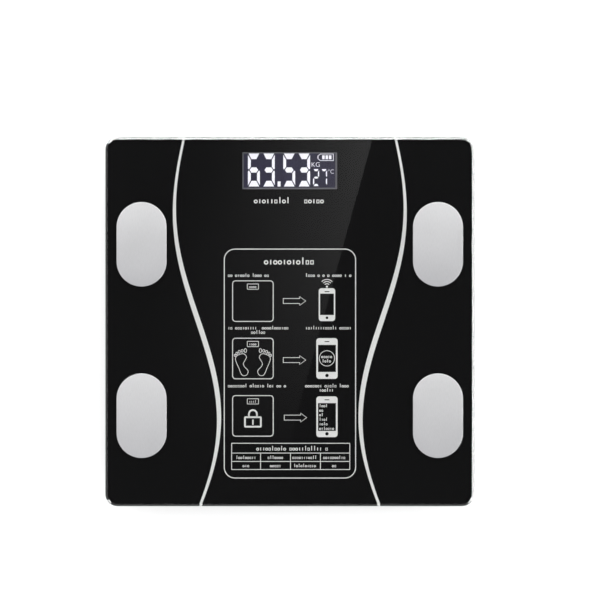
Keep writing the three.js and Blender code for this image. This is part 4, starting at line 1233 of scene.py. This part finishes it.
# %% [markdown]
# ### The sheen on the glass
#
# A large soft sheet hangs over the left part of the scale. Only reflections see it. Its right edge is
# cut on a slant and is brightest near the back, and it fades away to the left and to the front. Its
# place follows from where the camera will be, so the camera's sizes come first.

# %% The slanted sheet over the scale
LENS, SENSOR = 135.0, 36.0
PLATFORM_SHARE = 0.616  # how much of the view's width the platform fills
CAMERA_SHIFT = Vector((0.0277, 0.0588))  # right of and behind the middle, as shares of the platform
CAMERA_HEIGHT = PLATFORM / PLATFORM_SHARE * LENS / SENSOR * MM
SHEET_HEIGHT = 0.55
SHEET_GLOW = 0.64
EDGE_BACK, EDGE_FRONT = Vector((60.0, 135.0)), Vector((-14.0, -135.0))


def sheet_finish():
    """Light that is brightest at the slanted edge and fades to the left and to the front."""
    finish = bpy.data.materials.new("soft_sheet")
    finish.use_nodes = True
    tree = finish.node_tree
    tree.nodes.clear()
    glow = add(tree, "ShaderNodeVertexColor", {"layer_name": "glow"}).outputs["Color"]
    light = add(tree, "ShaderNodeEmission", {"Strength": 1.0}, {"Color": glow})
    add(tree, "ShaderNodeOutputMaterial", {}, {"Surface": light.outputs[0]})
    return finish


def reflected(x, y):
    """Where a point of the sheet hangs, to be mirrored by that point of the glass for an eye overhead."""
    eye = CAMERA_SHIFT * PLATFORM
    spread = (CAMERA_HEIGHT + SHEET_HEIGHT) / CAMERA_HEIGHT
    spot = eye + (Vector((x, y)) - eye) * spread
    return (MIDDLE.x + spot.x * MM, MIDDLE.y + spot.y * MM, glass_high.z + SHEET_HEIGHT)


def slanted_sheet(columns=24, rows=24, reach=135.0):
    """A grid whose right side is the slanted edge, with its glow stored at its points."""
    vertices, glows, faces = [], [], []
    for row in range(rows + 1):
        down = row / rows
        edge = EDGE_BACK.lerp(EDGE_FRONT, down)
        for column in range(columns + 1):
            left = column / columns
            vertices.append(reflected(edge.x - reach * left, edge.y))
            fade = (1 - left) ** 1.9 * max(0.0, 1 - down * 1.15) ** 1.2
            glows.append(SKY_OVERHEAD + SHEET_GLOW * fade)
    stride = columns + 1
    for row in range(rows):
        for column in range(columns):
            first = row * stride + column
            faces.append((first, first + 1, first + stride + 1, first + stride))
    mesh = bpy.data.meshes.new("slanted_sheet")
    mesh.from_pydata(vertices, [], faces)
    layer = mesh.color_attributes.new("glow", "FLOAT_COLOR", "POINT")
    for value, item in zip(glows, layer.data):
        item.color = (value, value, value, 1)
    mesh.materials.append(sheet_finish())
    return mesh


sheet = bpy.data.objects.new("slanted_sheet", slanted_sheet())
bpy.context.scene.collection.objects.link(sheet)
for ray in ("visible_camera", "visible_diffuse", "visible_shadow", "visible_transmission"):
    setattr(sheet, ray, False)

# %% [markdown]
# ## The camera
#
# The camera looks straight down through a long lens. The platform fills a little over six tenths of the
# frame's width, slightly left of its middle and below it, so the camera stands that much right and
# behind.

# %% The camera
lens = bpy.data.cameras.new("camera")
lens.lens, lens.sensor_width = LENS, SENSOR
camera = bpy.data.objects.new("camera", lens)
bpy.context.scene.collection.objects.link(camera)
camera.location = (
    MIDDLE.x + CAMERA_SHIFT.x * PLATFORM * MM,
    MIDDLE.y + CAMERA_SHIFT.y * PLATFORM * MM,
    glass_high.z + CAMERA_HEIGHT,
)
bpy.context.scene.camera = camera
bpy.context.scene.view_settings.view_transform = "Standard"
print(f"camera {CAMERA_HEIGHT:.2f} m above the glass")
